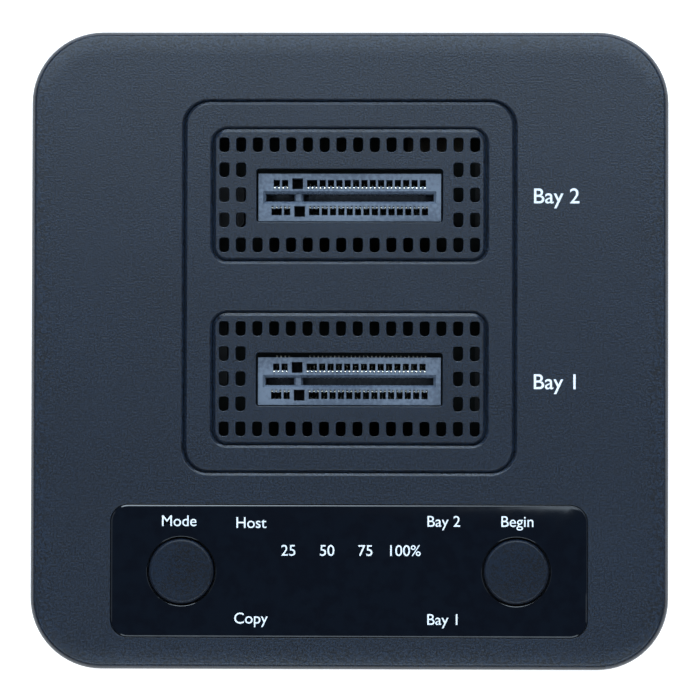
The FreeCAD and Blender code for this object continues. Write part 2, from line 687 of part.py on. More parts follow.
def make_panel_tape():
    """Double-sided tape under the panel, cut out round the buttons and over the lamps."""
    size = (PANEL_WIDTH - 2 * TAPE_INSET, PANEL_DEPTH - 2 * TAPE_INSET, TAPE_THICKNESS)
    tape = centred_block(0, PANEL_CENTRE_Y, recess_z, size)
    tape_top = recess_z + TAPE_THICKNESS
    window = block(*guide_web(), recess_z, tape_top)
    bore = BUTTON_RADIUS + BUTTON_CLEARANCE + TAPE_INSET
    holes = [hidden_post(x, BUTTON_Y, recess_z, tape_top, bore) for x in buttons.values()]
    return tape.cut([window] + holes)


def make_button(x):
    """A push button: a cap with an eased edge, a square flange that holds it under the cover, a stem."""
    flange_z = ceiling_z - FIT - BUTTON_FLANGE_THICKNESS
    cap_top = top_z + BUTTON_PROUD
    cap = post(x, BUTTON_Y, flange_z, cap_top, BUTTON_RADIUS)
    cap = cap.makeChamfer(BUTTON_EDGE, level_edges(cap, cap_top))
    width = 2 * (BUTTON_RADIUS + BUTTON_FLANGE)
    flange = centred_block(x, BUTTON_Y, flange_z, (width, width, BUTTON_FLANGE_THICKNESS))
    stem_size = (BUTTON_STEM, BUTTON_STEM, flange_z - plunger_top())
    stem = centred_block(x, BUTTON_Y, plunger_top(), stem_size)
    return cap.fuse([flange, stem]).removeSplitter()


def plunger_top():
    return board_top_z + SWITCH_BODY_HEIGHT + PLUNGER_HEIGHT


def make_switch_body(x):
    """The tact switch under a button: a square body with a well for its plunger, and four leads."""
    body = centred_block(x, BUTTON_Y, board_top_z, (SWITCH_SIZE, SWITCH_SIZE, SWITCH_BODY_HEIGHT))
    for sx in (-1, 1):
        for sy in (-1, 1):
            lead = (SWITCH_LEAD_REACH, SWITCH_LEAD_WIDTH, SWITCH_LEAD_THICKNESS)
            lead_x = x + sx * (SWITCH_SIZE + SWITCH_LEAD_REACH) / 2
            body = body.fuse(centred_block(lead_x, BUTTON_Y + sy * SWITCH_LEAD_SPREAD, board_top_z, lead))
    body_top = board_top_z + SWITCH_BODY_HEIGHT
    well_z = body_top - PLUNGER_DEPTH - BUTTON_TRAVEL - FIT
    well = (PLUNGER_WIDTH + 2 * FIT, PLUNGER_WIDTH + 2 * FIT, body_top - well_z)
    return body.cut(centred_block(x, BUTTON_Y, well_z, well)).removeSplitter()


def make_plunger(x):
    size = (PLUNGER_WIDTH, PLUNGER_WIDTH, PLUNGER_DEPTH + PLUNGER_HEIGHT)
    return centred_block(x, BUTTON_Y, plunger_top() - PLUNGER_DEPTH - PLUNGER_HEIGHT, size)


def lamp_places():
    """The lamps: one at each end of both columns, and the four of the progress scale between them."""
    places = [(x, y) for x in lamp_columns for y in lamp_rows]
    first, y = lamp_columns[0] + SCALE_LAMP_INSET, BUTTON_Y - SCALE_LAMP_DROP
    return places + [(first + i * SCALE_LAMP_PITCH, y) for i in range(SCALE_LAMPS)]


def guide_web():
    """Left, right, front and rear of the web that joins the light guides."""
    margin = GUIDE_WIDTH / 2 + GUIDE_WEB_MARGIN
    left, right = lamp_columns
    rear, front = lamp_rows
    return left - margin, right + margin, front - margin, rear + margin


def guide_stakes():
    """The cover's pins that the web is staked on, one in the middle of each column of lamps."""
    return [(x, BUTTON_Y) for x in lamp_columns]


def guide_stake_z():
    return ceiling_z - GUIDE_WEB - GUIDE_STAKE_STAND


def make_light_guides():
    """One clear moulding: a square rod from each lamp up to the tape's window, joined by a flat web."""
    guides = block(*guide_web(), ceiling_z - GUIDE_WEB, ceiling_z)
    rod_z = board_top_z + LAMP_SIZE[2] + GUIDE_LAMP_GAP
    rod = (GUIDE_WIDTH, GUIDE_WIDTH, recess_z - rod_z)
    guides = guides.fuse([centred_block(x, y, rod_z, rod) for x, y in lamp_places()])
    hole = (GUIDE_STAKE + FIT, GUIDE_STAKE + FIT, GUIDE_WEB)
    return guides.cut([centred_block(x, y, ceiling_z - GUIDE_WEB, hole) for x, y in guide_stakes()])


# ---- Base ----------------------------------------------------------------------------------------
def base_form():
    """The base's outside: an undercut lower edge, upright walls, a rebate where the cover meets it."""
    rebate_z = split_z - SHADOW_GAP
    return moulded_block([
        (0, base_z),
        (CORNER_RADIUS - BASE_CHAMFER[0], base_z),
        (CORNER_RADIUS, base_z + BASE_CHAMFER[1]),
        (CORNER_RADIUS, rebate_z),
        (CORNER_RADIUS - SHADOW_GAP, rebate_z),
        (CORNER_RADIUS - SHADOW_GAP, split_z),
        (0, split_z),
    ])


def base_vents():
    size = (BASE_VENT_WIDTH, BASE_VENT_LENGTH, FLOOR)
    return [
        centred_block(side * (BASE_VENT_FIRST_X + i * BASE_VENT_PITCH), BASE_VENT_Y, base_z, size)
        for side in (-1, 1) for i in range(BASE_VENT_COUNT)
    ]


def head_seat_z():
    """The case screws' heads bear here, sunk in the base's posts."""
    return base_z + CASE_SCREW_SINK + CASE_SCREW_HEAD


def case_screw_tip():
    return head_seat_z() + CASE_SCREW_LENGTH


def make_base_tray():
    base = base_form().cut(inside_form(floor_z, split_z))
    screws = corner_points(case_screw_x, case_screw_y)
    standoffs = corner_points(board_screw_x, BOARD_SCREW_Y)
    root_z = floor_z - FLOOR / 2
    pillar = (PILLAR_WIDTH, PILLAR_WIDTH, board_z - root_z)
    base = base.fuse(
        tongues(0)
        + [hidden_post(x, y, root_z, boss_z, CASE_POST_RADIUS) for x, y in screws]
        + [hidden_post(x, y, root_z, board_z, STANDOFF_RADIUS) for x, y in standoffs]
        + [centred_block(0, y, root_z, pillar) for y in bays.values()]
    )
    shank_bore = CASE_SCREW_RADIUS + SCREW_CLEARANCE
    head_bore = CASE_SCREW_HEAD_RADIUS + SCREW_CLEARANCE
    pilot_bore = BOARD_SCREW_RADIUS + FIT / 2
    pilot_z = board_top_z - BOARD_SCREW_LENGTH - PILOT_SPARE
    holes = [hidden_post(x, y, base_z, boss_z, shank_bore) for x, y in screws]
    holes += [hidden_post(x, y, base_z, head_seat_z(), head_bore) for x, y in screws]
    holes += [hidden_post(x, y, pilot_z, board_z, pilot_bore) for x, y in standoffs]
    return base.cut(holes + base_vents() + port_openings()).removeSplitter()


def make_foot(x, y):
    """A stick-on rubber foot, which covers a case screw."""
    return eased_block(x, y, FOOT_WIDTH, FOOT_WIDTH, FOOT_EASE, 0, FOOT_HEIGHT)


# ---- Screws --------------------------------------------------------------------------------------
def make_case_screws():
    """Four screws, driven from below through the base's posts into the cover's bosses."""
    screws = []
    for x, y in corner_points(case_screw_x, case_screw_y):
        head_z = head_seat_z() - CASE_SCREW_HEAD
        head = hidden_post(x, y, head_z, head_seat_z(), CASE_SCREW_HEAD_RADIUS)
        screws.append(head.fuse(hidden_post(x, y, head_seat_z(), case_screw_tip(), CASE_SCREW_RADIUS)))
    return together(screws)


def make_board_screws():
    """Four pan-head screws that hold the board down on its standoffs."""
    screws = []
    for x, y in corner_points(board_screw_x, BOARD_SCREW_Y):
        head_top = board_top_z + BOARD_SCREW_HEAD
        head = hidden_post(x, y, board_top_z, head_top, BOARD_SCREW_HEAD_RADIUS)
        shank = hidden_post(x, y, board_top_z - BOARD_SCREW_LENGTH, board_top_z, BOARD_SCREW_RADIUS)
        screws.append(head.fuse(shank))
    return together(screws)


# ---- Circuit board and its parts -----------------------------------------------------------------
def make_main_board():
    """The circuit board, notched at its corners for the cover's bosses and drilled for its screws."""
    front = BOARD_FRONT_MARGIN + WALL - CASE_DEPTH / 2
    rear = CASE_DEPTH / 2 - WALL - BOARD_REAR_MARGIN
    board = block(-board_half_width, board_half_width, front, rear, board_z, board_top_z)
    reach = CASE_SCREW_INSET
    notch = CASE_BOSS_RADIUS + BOARD_NOTCH_CLEARANCE
    tools = []
    for x, y in corner_points(case_screw_x, case_screw_y):
        sx, sy = math.copysign(1, x), math.copysign(1, y)
        xs = sorted((x - sx * notch, x + sx * reach))
        ys = sorted((y - sy * notch, y + sy * reach))
        tools.append(block(*xs, *ys, board_z, board_top_z))
    for x, y in corner_points(board_screw_x, BOARD_SCREW_Y):
        tools.append(hidden_post(x, y, board_z, board_top_z, BOARD_SCREW_RADIUS + SCREW_CLEARANCE))
    return board.cut(tools)


def on_board(places, size):
    """Blocks of one size, standing on the board."""
    return together([centred_block(x, y, board_top_z, size) for x, y in places])


def make_coils():
    """Power inductors: square moulded blocks with chamfered upright corners."""
    width, depth, height = COIL
    return together([
        eased_block(x, y, width, depth, COIL_CORNER, board_top_z, board_top_z + height)
        for x, y in COIL_AT + ((edge_part_x, EDGE_COIL_Y),)
    ])


def make_block_capacitors():
    """Three large capacitors: one beside each side edge of the board, and one behind the USB port."""
    left_y, right_y = EDGE_CAPACITOR_Y
    places = [(-edge_part_x, left_y), (edge_part_x, right_y), BLOCK_CAPACITOR_AT]
    return on_board(places, BLOCK_CAPACITOR)


def make_chip_capacitors():
    """Small capacitors in short rows between the sockets."""
    steps = [i * CAPACITOR_PITCH for i in range(CAPACITOR_ROW_COUNT)]
    return on_board([(x + step, y) for x, y in CAPACITOR_ROWS for step in steps], CHIP_CAPACITOR)


# ---- Ports ---------------------------------------------------------------------------------------
def stadium_y(x, z, width, height, y0, y1):
    """A flat-sided tube section with round ends, lying along Y."""
    radius = height / 2
    half = width / 2 - radius
    middle = block(x - half, x + half, y0, y1, z - radius, z + radius)
    return middle.fuse([rod_y(x + s * half, z, y0, y1, radius) for s in (-1, 1)]).removeSplitter()


def make_usb_shell():
    """The USB-C receptacle's steel shell, closed at the back."""
    back_y = port_face_y - USB_LENGTH
    shell = stadium_y(USB_X, usb_z, USB_WIDTH, USB_HEIGHT, back_y, port_face_y)
    inner_width, inner_height = USB_WIDTH - 2 * USB_SHELL, USB_HEIGHT - 2 * USB_SHELL
    mouth_y = port_face_y + CUT_OVER
    return shell.cut(stadium_y(USB_X, usb_z, inner_width, inner_height, back_y + USB_BACK, mouth_y))


def make_usb_tongue():
    """The receptacle's inner tongue, standing on the shell's back wall."""
    root_y, tip_y = port_face_y - USB_LENGTH + USB_BACK, port_face_y - USB_TONGUE_SINK
    half, rise = USB_TONGUE_WIDTH / 2, USB_TONGUE_THICKNESS / 2
    return block(USB_X - half, USB_X + half, root_y, tip_y, usb_z - rise, usb_z + rise)


def make_jack_body():
    """The barrel jack: a moulded block, and the bore that the plug slides into."""
    half = JACK_WIDTH / 2
    body = block(
        JACK_X - half, JACK_X + half, port_face_y - JACK_LENGTH, port_face_y,
        board_top_z, board_top_z + JACK_HEIGHT,
    )
    bore = rod_y(JACK_X, jack_z(), port_face_y - JACK_BORE_DEPTH, port_face_y, JACK_BORE_RADIUS)
    leaf_slot = block(
        JACK_X - JACK_LEAF_WIDTH / 2 - FIT, JACK_X + JACK_LEAF_WIDTH / 2 + FIT,
        port_face_y - JACK_BORE_DEPTH, leaf_end_y() + FIT,
        jack_z() - JACK_BORE_RADIUS - JACK_LEAF_THICKNESS, jack_z(),
    )
    return body.cut([bore, leaf_slot])


def leaf_end_y():
    return inner_rear_y - FIT


def make_jack_pin():
    back_y = port_face_y - JACK_BORE_DEPTH
    return rod_y(JACK_X, jack_z(), back_y, port_face_y - JACK_PIN_SINK, JACK_PIN_RADIUS)


def make_jack_leaf():
    """The sleeve contact: a leaf that lies in the floor of the jack's bore."""
    half = JACK_LEAF_WIDTH / 2
    low = jack_z() - JACK_BORE_RADIUS - JACK_LEAF_THICKNESS
    return block(
        JACK_X - half, JACK_X + half, port_face_y - JACK_BORE_DEPTH, leaf_end_y(),
        low, low + JACK_LEAF_THICKNESS,
    )


def make_power_body():
    """The slide switch's case, with the track that its slider runs in."""
    half = POWER_WIDTH / 2
    body = block(
        POWER_X - half, POWER_X + half, inner_rear_y - POWER_LENGTH, inner_rear_y,
        board_top_z, board_top_z + POWER_HEIGHT,
    )
    rise = POWER_KNOB_HEIGHT / 2 + POWER_RUN_GAP
    low, high = power_z() - rise, power_z() + rise
    track = POWER_KNOB_WIDTH / 2 + POWER_TRAVEL / 2 + POWER_RUN_GAP
    carriage = track + POWER_CARRIAGE
    run_y = inner_rear_y - POWER_FRONT_WALL
    run_back_y = run_y - POWER_CARRIAGE - 2 * POWER_RUN_GAP
    mouth = block(POWER_X - track, POWER_X + track, run_y, inner_rear_y, low, high)
    run = block(POWER_X - carriage, POWER_X + carriage, run_back_y, run_y, low, high)
    return body.cut([mouth, run])


def make_power_slider():
    """The slide switch's knob on its carriage, at the left end of its travel."""
    x = POWER_X - POWER_TRAVEL / 2
    half, rise = POWER_KNOB_WIDTH / 2, POWER_KNOB_HEIGHT / 2
    low, high = power_z() - rise, power_z() + rise
    tip_y = rear_y - POWER_KNOB_SINK
    carriage_y = inner_rear_y - POWER_FRONT_WALL - POWER_RUN_GAP
    knob = block(x - half, x + half, carriage_y, tip_y, low, high)
    tip = [edge for edge in knob.Edges if all(abs(v.Y - tip_y) < SAME_PLACE for v in edge.Vertexes)]
    knob = knob.makeChamfer(POWER_KNOB_EASE, tip)
    half += POWER_CARRIAGE
    carriage = block(x - half, x + half, carriage_y - POWER_CARRIAGE, carriage_y, low, high)
    return knob.fuse(carriage).removeSplitter()


# ---- All pieces ----------------------------------------------------------------------------------
def make_parts():
    parts = {
        "top_cover": make_top_cover(),
        "bay_plate": make_bay_plate(),
        "control_panel": make_control_panel(),
        "panel_tape": make_panel_tape(),
        "light_guides": make_light_guides(),
        "base_tray": make_base_tray(),
        "case_screws": make_case_screws(),
        "main_board": make_main_board(),
        "board_screws": make_board_screws(),
        "indicator_lamps": on_board(lamp_places(), LAMP_SIZE),
        "bridge_chips": on_board([(BRIDGE_CHIP_X, y) for y in bays.values()], BRIDGE_CHIP),
        "controller_chip": on_board([CONTROLLER_CHIP_AT], CONTROLLER_CHIP),
        "memory_chip": on_board([MEMORY_CHIP_AT], MEMORY_CHIP),
        "power_coils": make_coils(),
        "block_capacitors": make_block_capacitors(),
        "chip_capacitors": make_chip_capacitors(),
        "crystals": on_board(CRYSTAL_AT, CRYSTAL),
        "usb_port_shell": make_usb_shell(),
        "usb_port_tongue": make_usb_tongue(),
        "power_jack_body": make_jack_body(),
        "power_jack_pin": make_jack_pin(),
        "power_jack_leaf": make_jack_leaf(),
        "power_switch_body": make_power_body(),
        "power_switch_slider": make_power_slider(),
    }
    for bay, y in bays.items():
        parts[bay + "_grille"] = make_grille(y)
        parts[bay + "_socket"] = make_socket(y)
        parts[bay + "_socket_contacts"] = make_contacts(y)
    for name, x in buttons.items():
        parts[name + "_button"] = make_button(x)
        parts[name + "_switch_body"] = make_switch_body(x)
        parts[name + "_switch_plunger"] = make_plunger(x)
    for x, y in corner_points(case_screw_x, case_screw_y):
        name = f"foot_{'front' if y < 0 else 'rear'}_{'left' if x < 0 else 'right'}"
        parts[name] = make_foot(x, y)
    return parts


def main():
    os.makedirs("parts", exist_ok=True)
    for name, shape in make_parts().items():
        shape.exportStep(os.path.join("parts", name + ".step"))
        print(f"{name}: {len(shape.Solids)} solids, valid {shape.isValid()}, {shape.Volume:.1f} mm3")


main()
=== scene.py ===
import math

import bmesh
import bpy
from mathutils import Euler, Matrix, Vector


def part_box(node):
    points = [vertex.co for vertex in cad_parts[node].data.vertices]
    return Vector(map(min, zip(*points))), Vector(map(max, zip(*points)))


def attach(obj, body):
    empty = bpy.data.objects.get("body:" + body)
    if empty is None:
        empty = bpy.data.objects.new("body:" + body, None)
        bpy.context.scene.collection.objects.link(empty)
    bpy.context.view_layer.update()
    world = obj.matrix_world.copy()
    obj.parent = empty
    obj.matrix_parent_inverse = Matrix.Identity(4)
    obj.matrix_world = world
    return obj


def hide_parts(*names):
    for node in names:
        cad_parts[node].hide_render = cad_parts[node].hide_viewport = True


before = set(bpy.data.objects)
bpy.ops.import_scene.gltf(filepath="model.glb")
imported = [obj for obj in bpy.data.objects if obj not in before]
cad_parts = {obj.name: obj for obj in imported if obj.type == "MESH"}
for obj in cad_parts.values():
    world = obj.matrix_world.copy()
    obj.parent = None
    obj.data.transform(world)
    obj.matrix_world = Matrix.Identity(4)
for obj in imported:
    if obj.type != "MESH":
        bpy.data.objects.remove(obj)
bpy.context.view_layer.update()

# ---- Camera ----------------------------------------------------------------------------------
# The duplicator is seen from almost straight above, from far enough away that its
# side walls stay hidden behind the edge of the top face.
MM = 0.001


def linked(name, data):
    """An object that carries this data, linked to the scene."""
    carrier = bpy.data.objects.new(name, data)
    bpy.context.scene.collection.objects.link(carrier)
    return carrier


case_top_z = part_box("top_cover")[1].z
camera_distance = 0.65
camera_turn = Euler((math.radians(1.60), math.radians(1.43), math.radians(0.14))).to_matrix()
camera_aim = Vector((0.09 * MM, 0.02 * MM, case_top_z))
camera_data = bpy.data.cameras.new("overhead_camera")
camera_data.lens = 279.8
camera_data.sensor_width = 36.0
camera_data.clip_start = 0.05
camera_data.clip_end = 20.0
camera = linked("overhead_camera", camera_data)
camera.matrix_world = (
    Matrix.Translation(camera_aim + camera_turn @ Vector((0, 0, camera_distance)))
    @ camera_turn.to_4x4()
)
bpy.context.scene.camera = camera
bpy.context.scene.view_settings.view_transform = "Standard"


# ---- Case shells -----------------------------------------------------------------------------
# Cover and base are injection-moulded ABS with a fine spark-eroded grain. Their outer
# edges and the lips of the openings are rounded by the mould, so each shell is a copy
# of the CAD solid with those edges eased.
def shader_group(name, inputs, outputs):
    """An empty node group for materials, with its Group Input and Group Output."""
    group = bpy.data.node_groups.new(name, "ShaderNodeTree")
    for socket, value in inputs.items():
        made = group.interface.new_socket(socket, in_out="INPUT", socket_type="NodeSocketFloat")
        made.default_value = value
    for socket, kind in outputs.items():
        group.interface.new_socket(socket, in_out="OUTPUT", socket_type=kind)
    return group, group.nodes.new("NodeGroupInput"), group.nodes.new("NodeGroupOutput")


def calculator(tree):
    """A function that adds a math node to the tree and returns its result."""
    def calculate(operation, *values):
        node = tree.nodes.new("ShaderNodeMath")
        node.operation = operation
        for socket, value in zip(node.inputs, values):
            if hasattr(value, "is_output"):
                tree.links.new(value, socket)
            else:
                socket.default_value = value
        return node.outputs[0]

    return calculate


def mould_grain():
    """Speckle and height of a spark-eroded mould surface: fine pits, and slow clouding."""
    group, entry, end = shader_group(
        "mould_grain",
        {"Pit size": 0.2 * MM, "Cloud size": 9 * MM, "Clouding": 0.25},
        {"Speckle": "NodeSocketFloat", "Height": "NodeSocketFloat"},
    )
    new, link, calculate = group.nodes.new, group.links.new, calculator(group)
    place = new("ShaderNodeTexCoord")

    def noise(size, detail):
        texture = new("ShaderNodeTexNoise")
        texture.inputs["Detail"].default_value = detail
        link(place.outputs["Object"], texture.inputs["Vector"])
        link(calculate("DIVIDE", 1.0, entry.outputs[size]), texture.inputs["Scale"])
        return texture.outputs["Fac"]

    pits, clouds = noise("Pit size", 2.0), noise("Cloud size", 1.0)
    mix = new("ShaderNodeMix")
    link(entry.outputs["Clouding"], mix.inputs["Factor"])
    link(pits, mix.inputs["A"])
    link(clouds, mix.inputs["B"])
    link(mix.outputs["Result"], end.inputs["Speckle"])
    link(pits, end.inputs["Height"])
    return group


grain = mould_grain()


def speckled(name, dark, light, tones, roughness, pit_size):
    """A material whose colour and roughness run between two values by the grain's speckle."""
    material = bpy.data.materials.new(name)
    material.use_nodes = True
    nodes, link = material.node_tree.nodes, material.node_tree.links.new
    shader = nodes["Principled BSDF"]
    surface = nodes.new("ShaderNodeGroup")
    surface.node_tree = grain
    surface.inputs["Pit size"].default_value = pit_size
    colours = nodes.new("ShaderNodeValToRGB")
    for element, position, colour in zip(colours.color_ramp.elements, tones, (dark, light)):
        element.position = position
        element.color = (*colour, 1)
    link(surface.outputs["Speckle"], colours.inputs["Fac"])
    link(colours.outputs["Color"], shader.inputs["Base Color"])
    rough = nodes.new("ShaderNodeMapRange")
    for limit, value in zip(("To Min", "To Max"), roughness):
        rough.inputs[limit].default_value = value
    link(surface.outputs["Speckle"], rough.inputs["Value"])
    link(rough.outputs["Result"], shader.inputs["Roughness"])
    return material, shader, surface


def moulded_plastic(name, dark, light, roughness, pit_size, bump, clouding=0.25, specular=0.5):
    """A textured plastic: two near colours by the grain's speckle, and the grain as bump."""
    tones, swing, pit_depth = (0.42, 0.58), 0.06, 0.02 * MM
    material, shader, surface = speckled(
        name, dark, light, tones, (roughness + swing, roughness - swing), pit_size
    )
    shader.inputs["Specular IOR Level"].default_value = specular
    surface.inputs["Clouding"].default_value = clouding
    nodes, link = material.node_tree.nodes, material.node_tree.links.new
    relief = nodes.new("ShaderNodeBump")
    relief.inputs["Strength"].default_value = bump
    relief.inputs["Distance"].default_value = pit_depth
    link(surface.outputs["Height"], relief.inputs["Height"])
    link(relief.outputs["Normal"], shader.inputs["Normal"])
    return material


case_plastic = moulded_plastic(
    "case_plastic", dark=(0.0002, 0.001, 0.003), light=(0.0112, 0.0205, 0.0385),
    roughness=0.28, pit_size=0.2 * MM, bump=0.95, clouding=0.05,
)


def finished(name, mesh, material, body, slot, *nodes):
    """A piece at the origin, with its material, body and the nodes it stands for. The slot is not
    used.
    """
    piece = linked(name, mesh)
    mesh.materials.clear()
    mesh.materials.append(material)
    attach(piece, body)
    if nodes:
        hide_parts(*nodes)
    return piece


def as_built(carrier, name):
    """The mesh that a carrier's modifiers or outlines make. The carrier is removed."""
    graph = bpy.context.evaluated_depsgraph_get()
    mesh = bpy.data.meshes.new_from_object(carrier.evaluated_get(graph), depsgraph=graph)
    bpy.data.objects.remove(carrier)
    mesh.name = name
    return mesh


def evaluated_mesh(name, mesh, kind, **settings):
    """The mesh that a modifier of this kind and settings makes."""
    carrier = linked(name, mesh)
    modifier = carrier.modifiers.new(kind, kind)
    for key, value in settings.items():
        setattr(modifier, key, value)
    return as_built(carrier, name)


def as_mesh(shell, name):
    """The mesh of a working shell, which is freed."""
    mesh = bpy.data.meshes.new(name)
    shell.to_mesh(mesh)
    shell.free()
    return mesh


def smoothed(mesh, sharp):
    """Smooth shading, apart from the edges that turn by more than sharp degrees."""
    mesh.shade_smooth()
    mesh.set_sharp_from_angle(angle=math.radians(sharp))
    return mesh


weld_distance = 0.002 * MM


def node_shell(node):
    """A CAD node's mesh as a working shell, with its doubled vertices welded."""
    shell = bmesh.new()
    shell.from_mesh(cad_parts[node].data)
    bmesh.ops.remove_doubles(shell, verts=shell.verts, dist=weld_distance)
    return shell


def lay_back(shell, drop):
    """Makes the groove lips that face the rear shallower, and leaves the others steep."""
    least_slope, most_slope, lip_depth, reach = 0.6, 0.8, 0.2 * MM, 34 * MM
    for vert in shell.verts:
        lips = [face.normal for face in vert.link_faces if least_slope < face.normal.z < most_slope]
        at_foot = vert.co.z < case_top_z - lip_depth
        if lips and at_foot and max(abs(vert.co.x), abs(vert.co.y)) < reach:
            across = sum(math.hypot(lip.x, lip.y) for lip in lips)
            vert.co.z += drop * max(0.0, sum(lip.y for lip in lips) / across)


def eased_copy(node, name, width, weigh, segments=3):
    """The node's mesh with edges rounded by the width times the weight that weigh() gives."""
    flat, least_turn, sharp = math.radians(0.5), math.radians(20), 40.0
    shell = node_shell(node)
    bmesh.ops.dissolve_limit(shell, angle_limit=flat, verts=shell.verts, edges=shell.edges)
    shell.normal_update()
    lay_back(shell, 0.15 * MM)
    weights = shell.edges.layers.float.new("bevel_weight_edge")
    for edge in shell.edges:
        if edge.is_manifold and edge.calc_face_angle() > least_turn:
            edge[weights] = weigh((edge.verts[0].co + edge.verts[1].co) / 2 / MM)
    mesh = evaluated_mesh(
        name, as_mesh(shell, name), "BEVEL", limit_method="WEIGHT", width=width, segments=segments
    )
    return evaluated_mesh(
        name, smoothed(mesh, sharp), "WEIGHTED_NORMAL", keep_sharp=True, weight=80
    )


def on_outer_wall(middle):
    """Whether an edge lies on the case's outer walls. Its middle is given in millimetres."""
    wall_reach, corner_reach = 34.5, 44.0
    return (
        max(abs(middle.x), abs(middle.y)) > wall_reach
        or math.hypot(middle.x, middle.y) > corner_reach
    )


def cover_edge(middle):
    """Wide rounding along the outer edge, narrow round the openings and along the lower rim."""
    chamfer_foot, lip_foot, lower_rim, narrow = 25.0, 25.6, 17.8, 0.2
    outside = on_outer_wall(middle)
    if outside and middle.z > chamfer_foot:
        return 1.0
    return narrow if middle.z > lip_foot or (outside and middle.z < lower_rim) else 0.0


finished(
    "cover_shell", eased_copy("top_cover", "cover_shell", 0.26 * MM, cover_edge),
    case_plastic, "case", "case", "top_cover",
)


def base_edge(middle):
    """Full rounding on the outer walls, below the tongues that locate the cover."""
    upper_rim = 17.5
    return 1.0 if on_outer_wall(middle) and middle.z < upper_rim else 0.0


finished(
    "base_shell", eased_copy("base_tray", "base_shell", 0.3 * MM, base_edge),
    case_plastic, "case", "case", "base_tray",
)


def top_lip(middle):
    """Full rounding at the top face, and none below it."""
    lip_foot = 25.6
    return 1.0 if middle.z > lip_foot else 0.0


finished(
    "bay_surround", eased_copy("bay_plate", "bay_surround", 0.04 * MM, top_lip),
    case_plastic, "case", "case", "bay_plate",
)


# ---- Vent grilles ----------------------------------------------------------------------------
# Each drive bay has a thin moulded plate, perforated on a 2 by 3 mm grid, with an opening
# that the card socket stands in. The holes' upper lips are rounded by the mould.
def rounded_outline(width, depth, rear_radius, front_radius, steps=6):
    """A closed outline, anticlockwise, with its own corner radii at the rear and the front."""
    points = []
    for i, (sx, sy) in enumerate(((1, 1), (-1, 1), (-1, -1), (1, -1))):
        radius = rear_radius if sy > 0 else front_radius
        centre = Vector((sx * (width / 2 - radius), sy * (depth / 2 - radius)))
        for k in range(steps + 1):
            turn = math.radians(90 * (i + k / steps))
            points.append(centre + radius * Vector((math.cos(turn), math.sin(turn))))
    return points


def stitch(shell, loops, downwards=True):
    """Quads from each loop of vertices to the next. The loops run anticlockwise from above."""
    for first, second in zip(loops, loops[1:]):
        for i in range(len(first)):
            k = (i + 1) % len(first)
            quad = (first[i], second[i], second[k], first[k])
            shell.faces.new(quad if downwards else (first[i], first[k], second[k], second[i]))


def wall_object(name, width, depth, rear_radius, front_radius, courses, steps=6):
    """A band of wall round an outline, in courses of (growth, z) from its rim to its foot."""
    band = bmesh.new()
    marks = {"rim": band.edges.layers.bool.new("rim"), "foot": band.edges.layers.bool.new("foot")}
    loops = []
    for growth, z in courses:
        outline = rounded_outline(
            width + 2 * growth, depth + 2 * growth,
            rear_radius + growth, front_radius + growth, steps,
        )
        loops.append([band.verts.new((p.x, p.y, z)) for p in outline])
    stitch(band, loops)
    for mark, loop in (("rim", loops[0]), ("foot", loops[-1])):
        for i, vert in enumerate(loop):
            band.edges.get((vert, loop[(i + 1) % len(loop)]))[marks[mark]] = True
    return linked(name, as_mesh(band, name))


def geometry_tree(name, inputs):
    """An empty Geometry Nodes tree with named inputs, and its Group Input and Group Output."""
    tree = bpy.data.node_groups.new(name, "GeometryNodeTree")
    tree.interface.new_socket("Geometry", in_out="INPUT", socket_type="NodeSocketGeometry")
    for socket, kind in inputs.items():
        tree.interface.new_socket(socket, in_out="INPUT", socket_type=kind)
    tree.interface.new_socket("Geometry", in_out="OUTPUT", socket_type="NodeSocketGeometry")
    return tree, tree.nodes.new("NodeGroupInput"), tree.nodes.new("NodeGroupOutput")


def grown_mesh(name, tree, values):
    """The plain mesh that a tree makes from these input values, on an empty carrier."""
    carrier = linked(name, bpy.data.meshes.new(name))
    modifier = carrier.modifiers.new("grow", "NODES")
    modifier.node_group = tree
    for socket in tree.interface.items_tree:
        if socket.in_out == "INPUT" and socket.name in values:
            modifier[socket.identifier] = values[socket.name]
    return as_built(carrier, name)


def close_tree(tree, entry, end, geometry):
    """Ends a tree: the realized geometry goes to its Middle and takes its Material."""
    moved = tree.nodes.new("GeometryNodeTransform")
    coat = tree.nodes.new("GeometryNodeSetMaterial")
    for source, target in (
        (geometry, moved.inputs["Geometry"]),
        (entry.outputs["Middle"], moved.inputs["Translation"]),
        (moved.outputs[0], coat.inputs["Geometry"]),
        (entry.outputs["Material"], coat.inputs["Material"]),
        (coat.outputs[0], end.inputs[0]),
    ):
        tree.links.new(source, target)


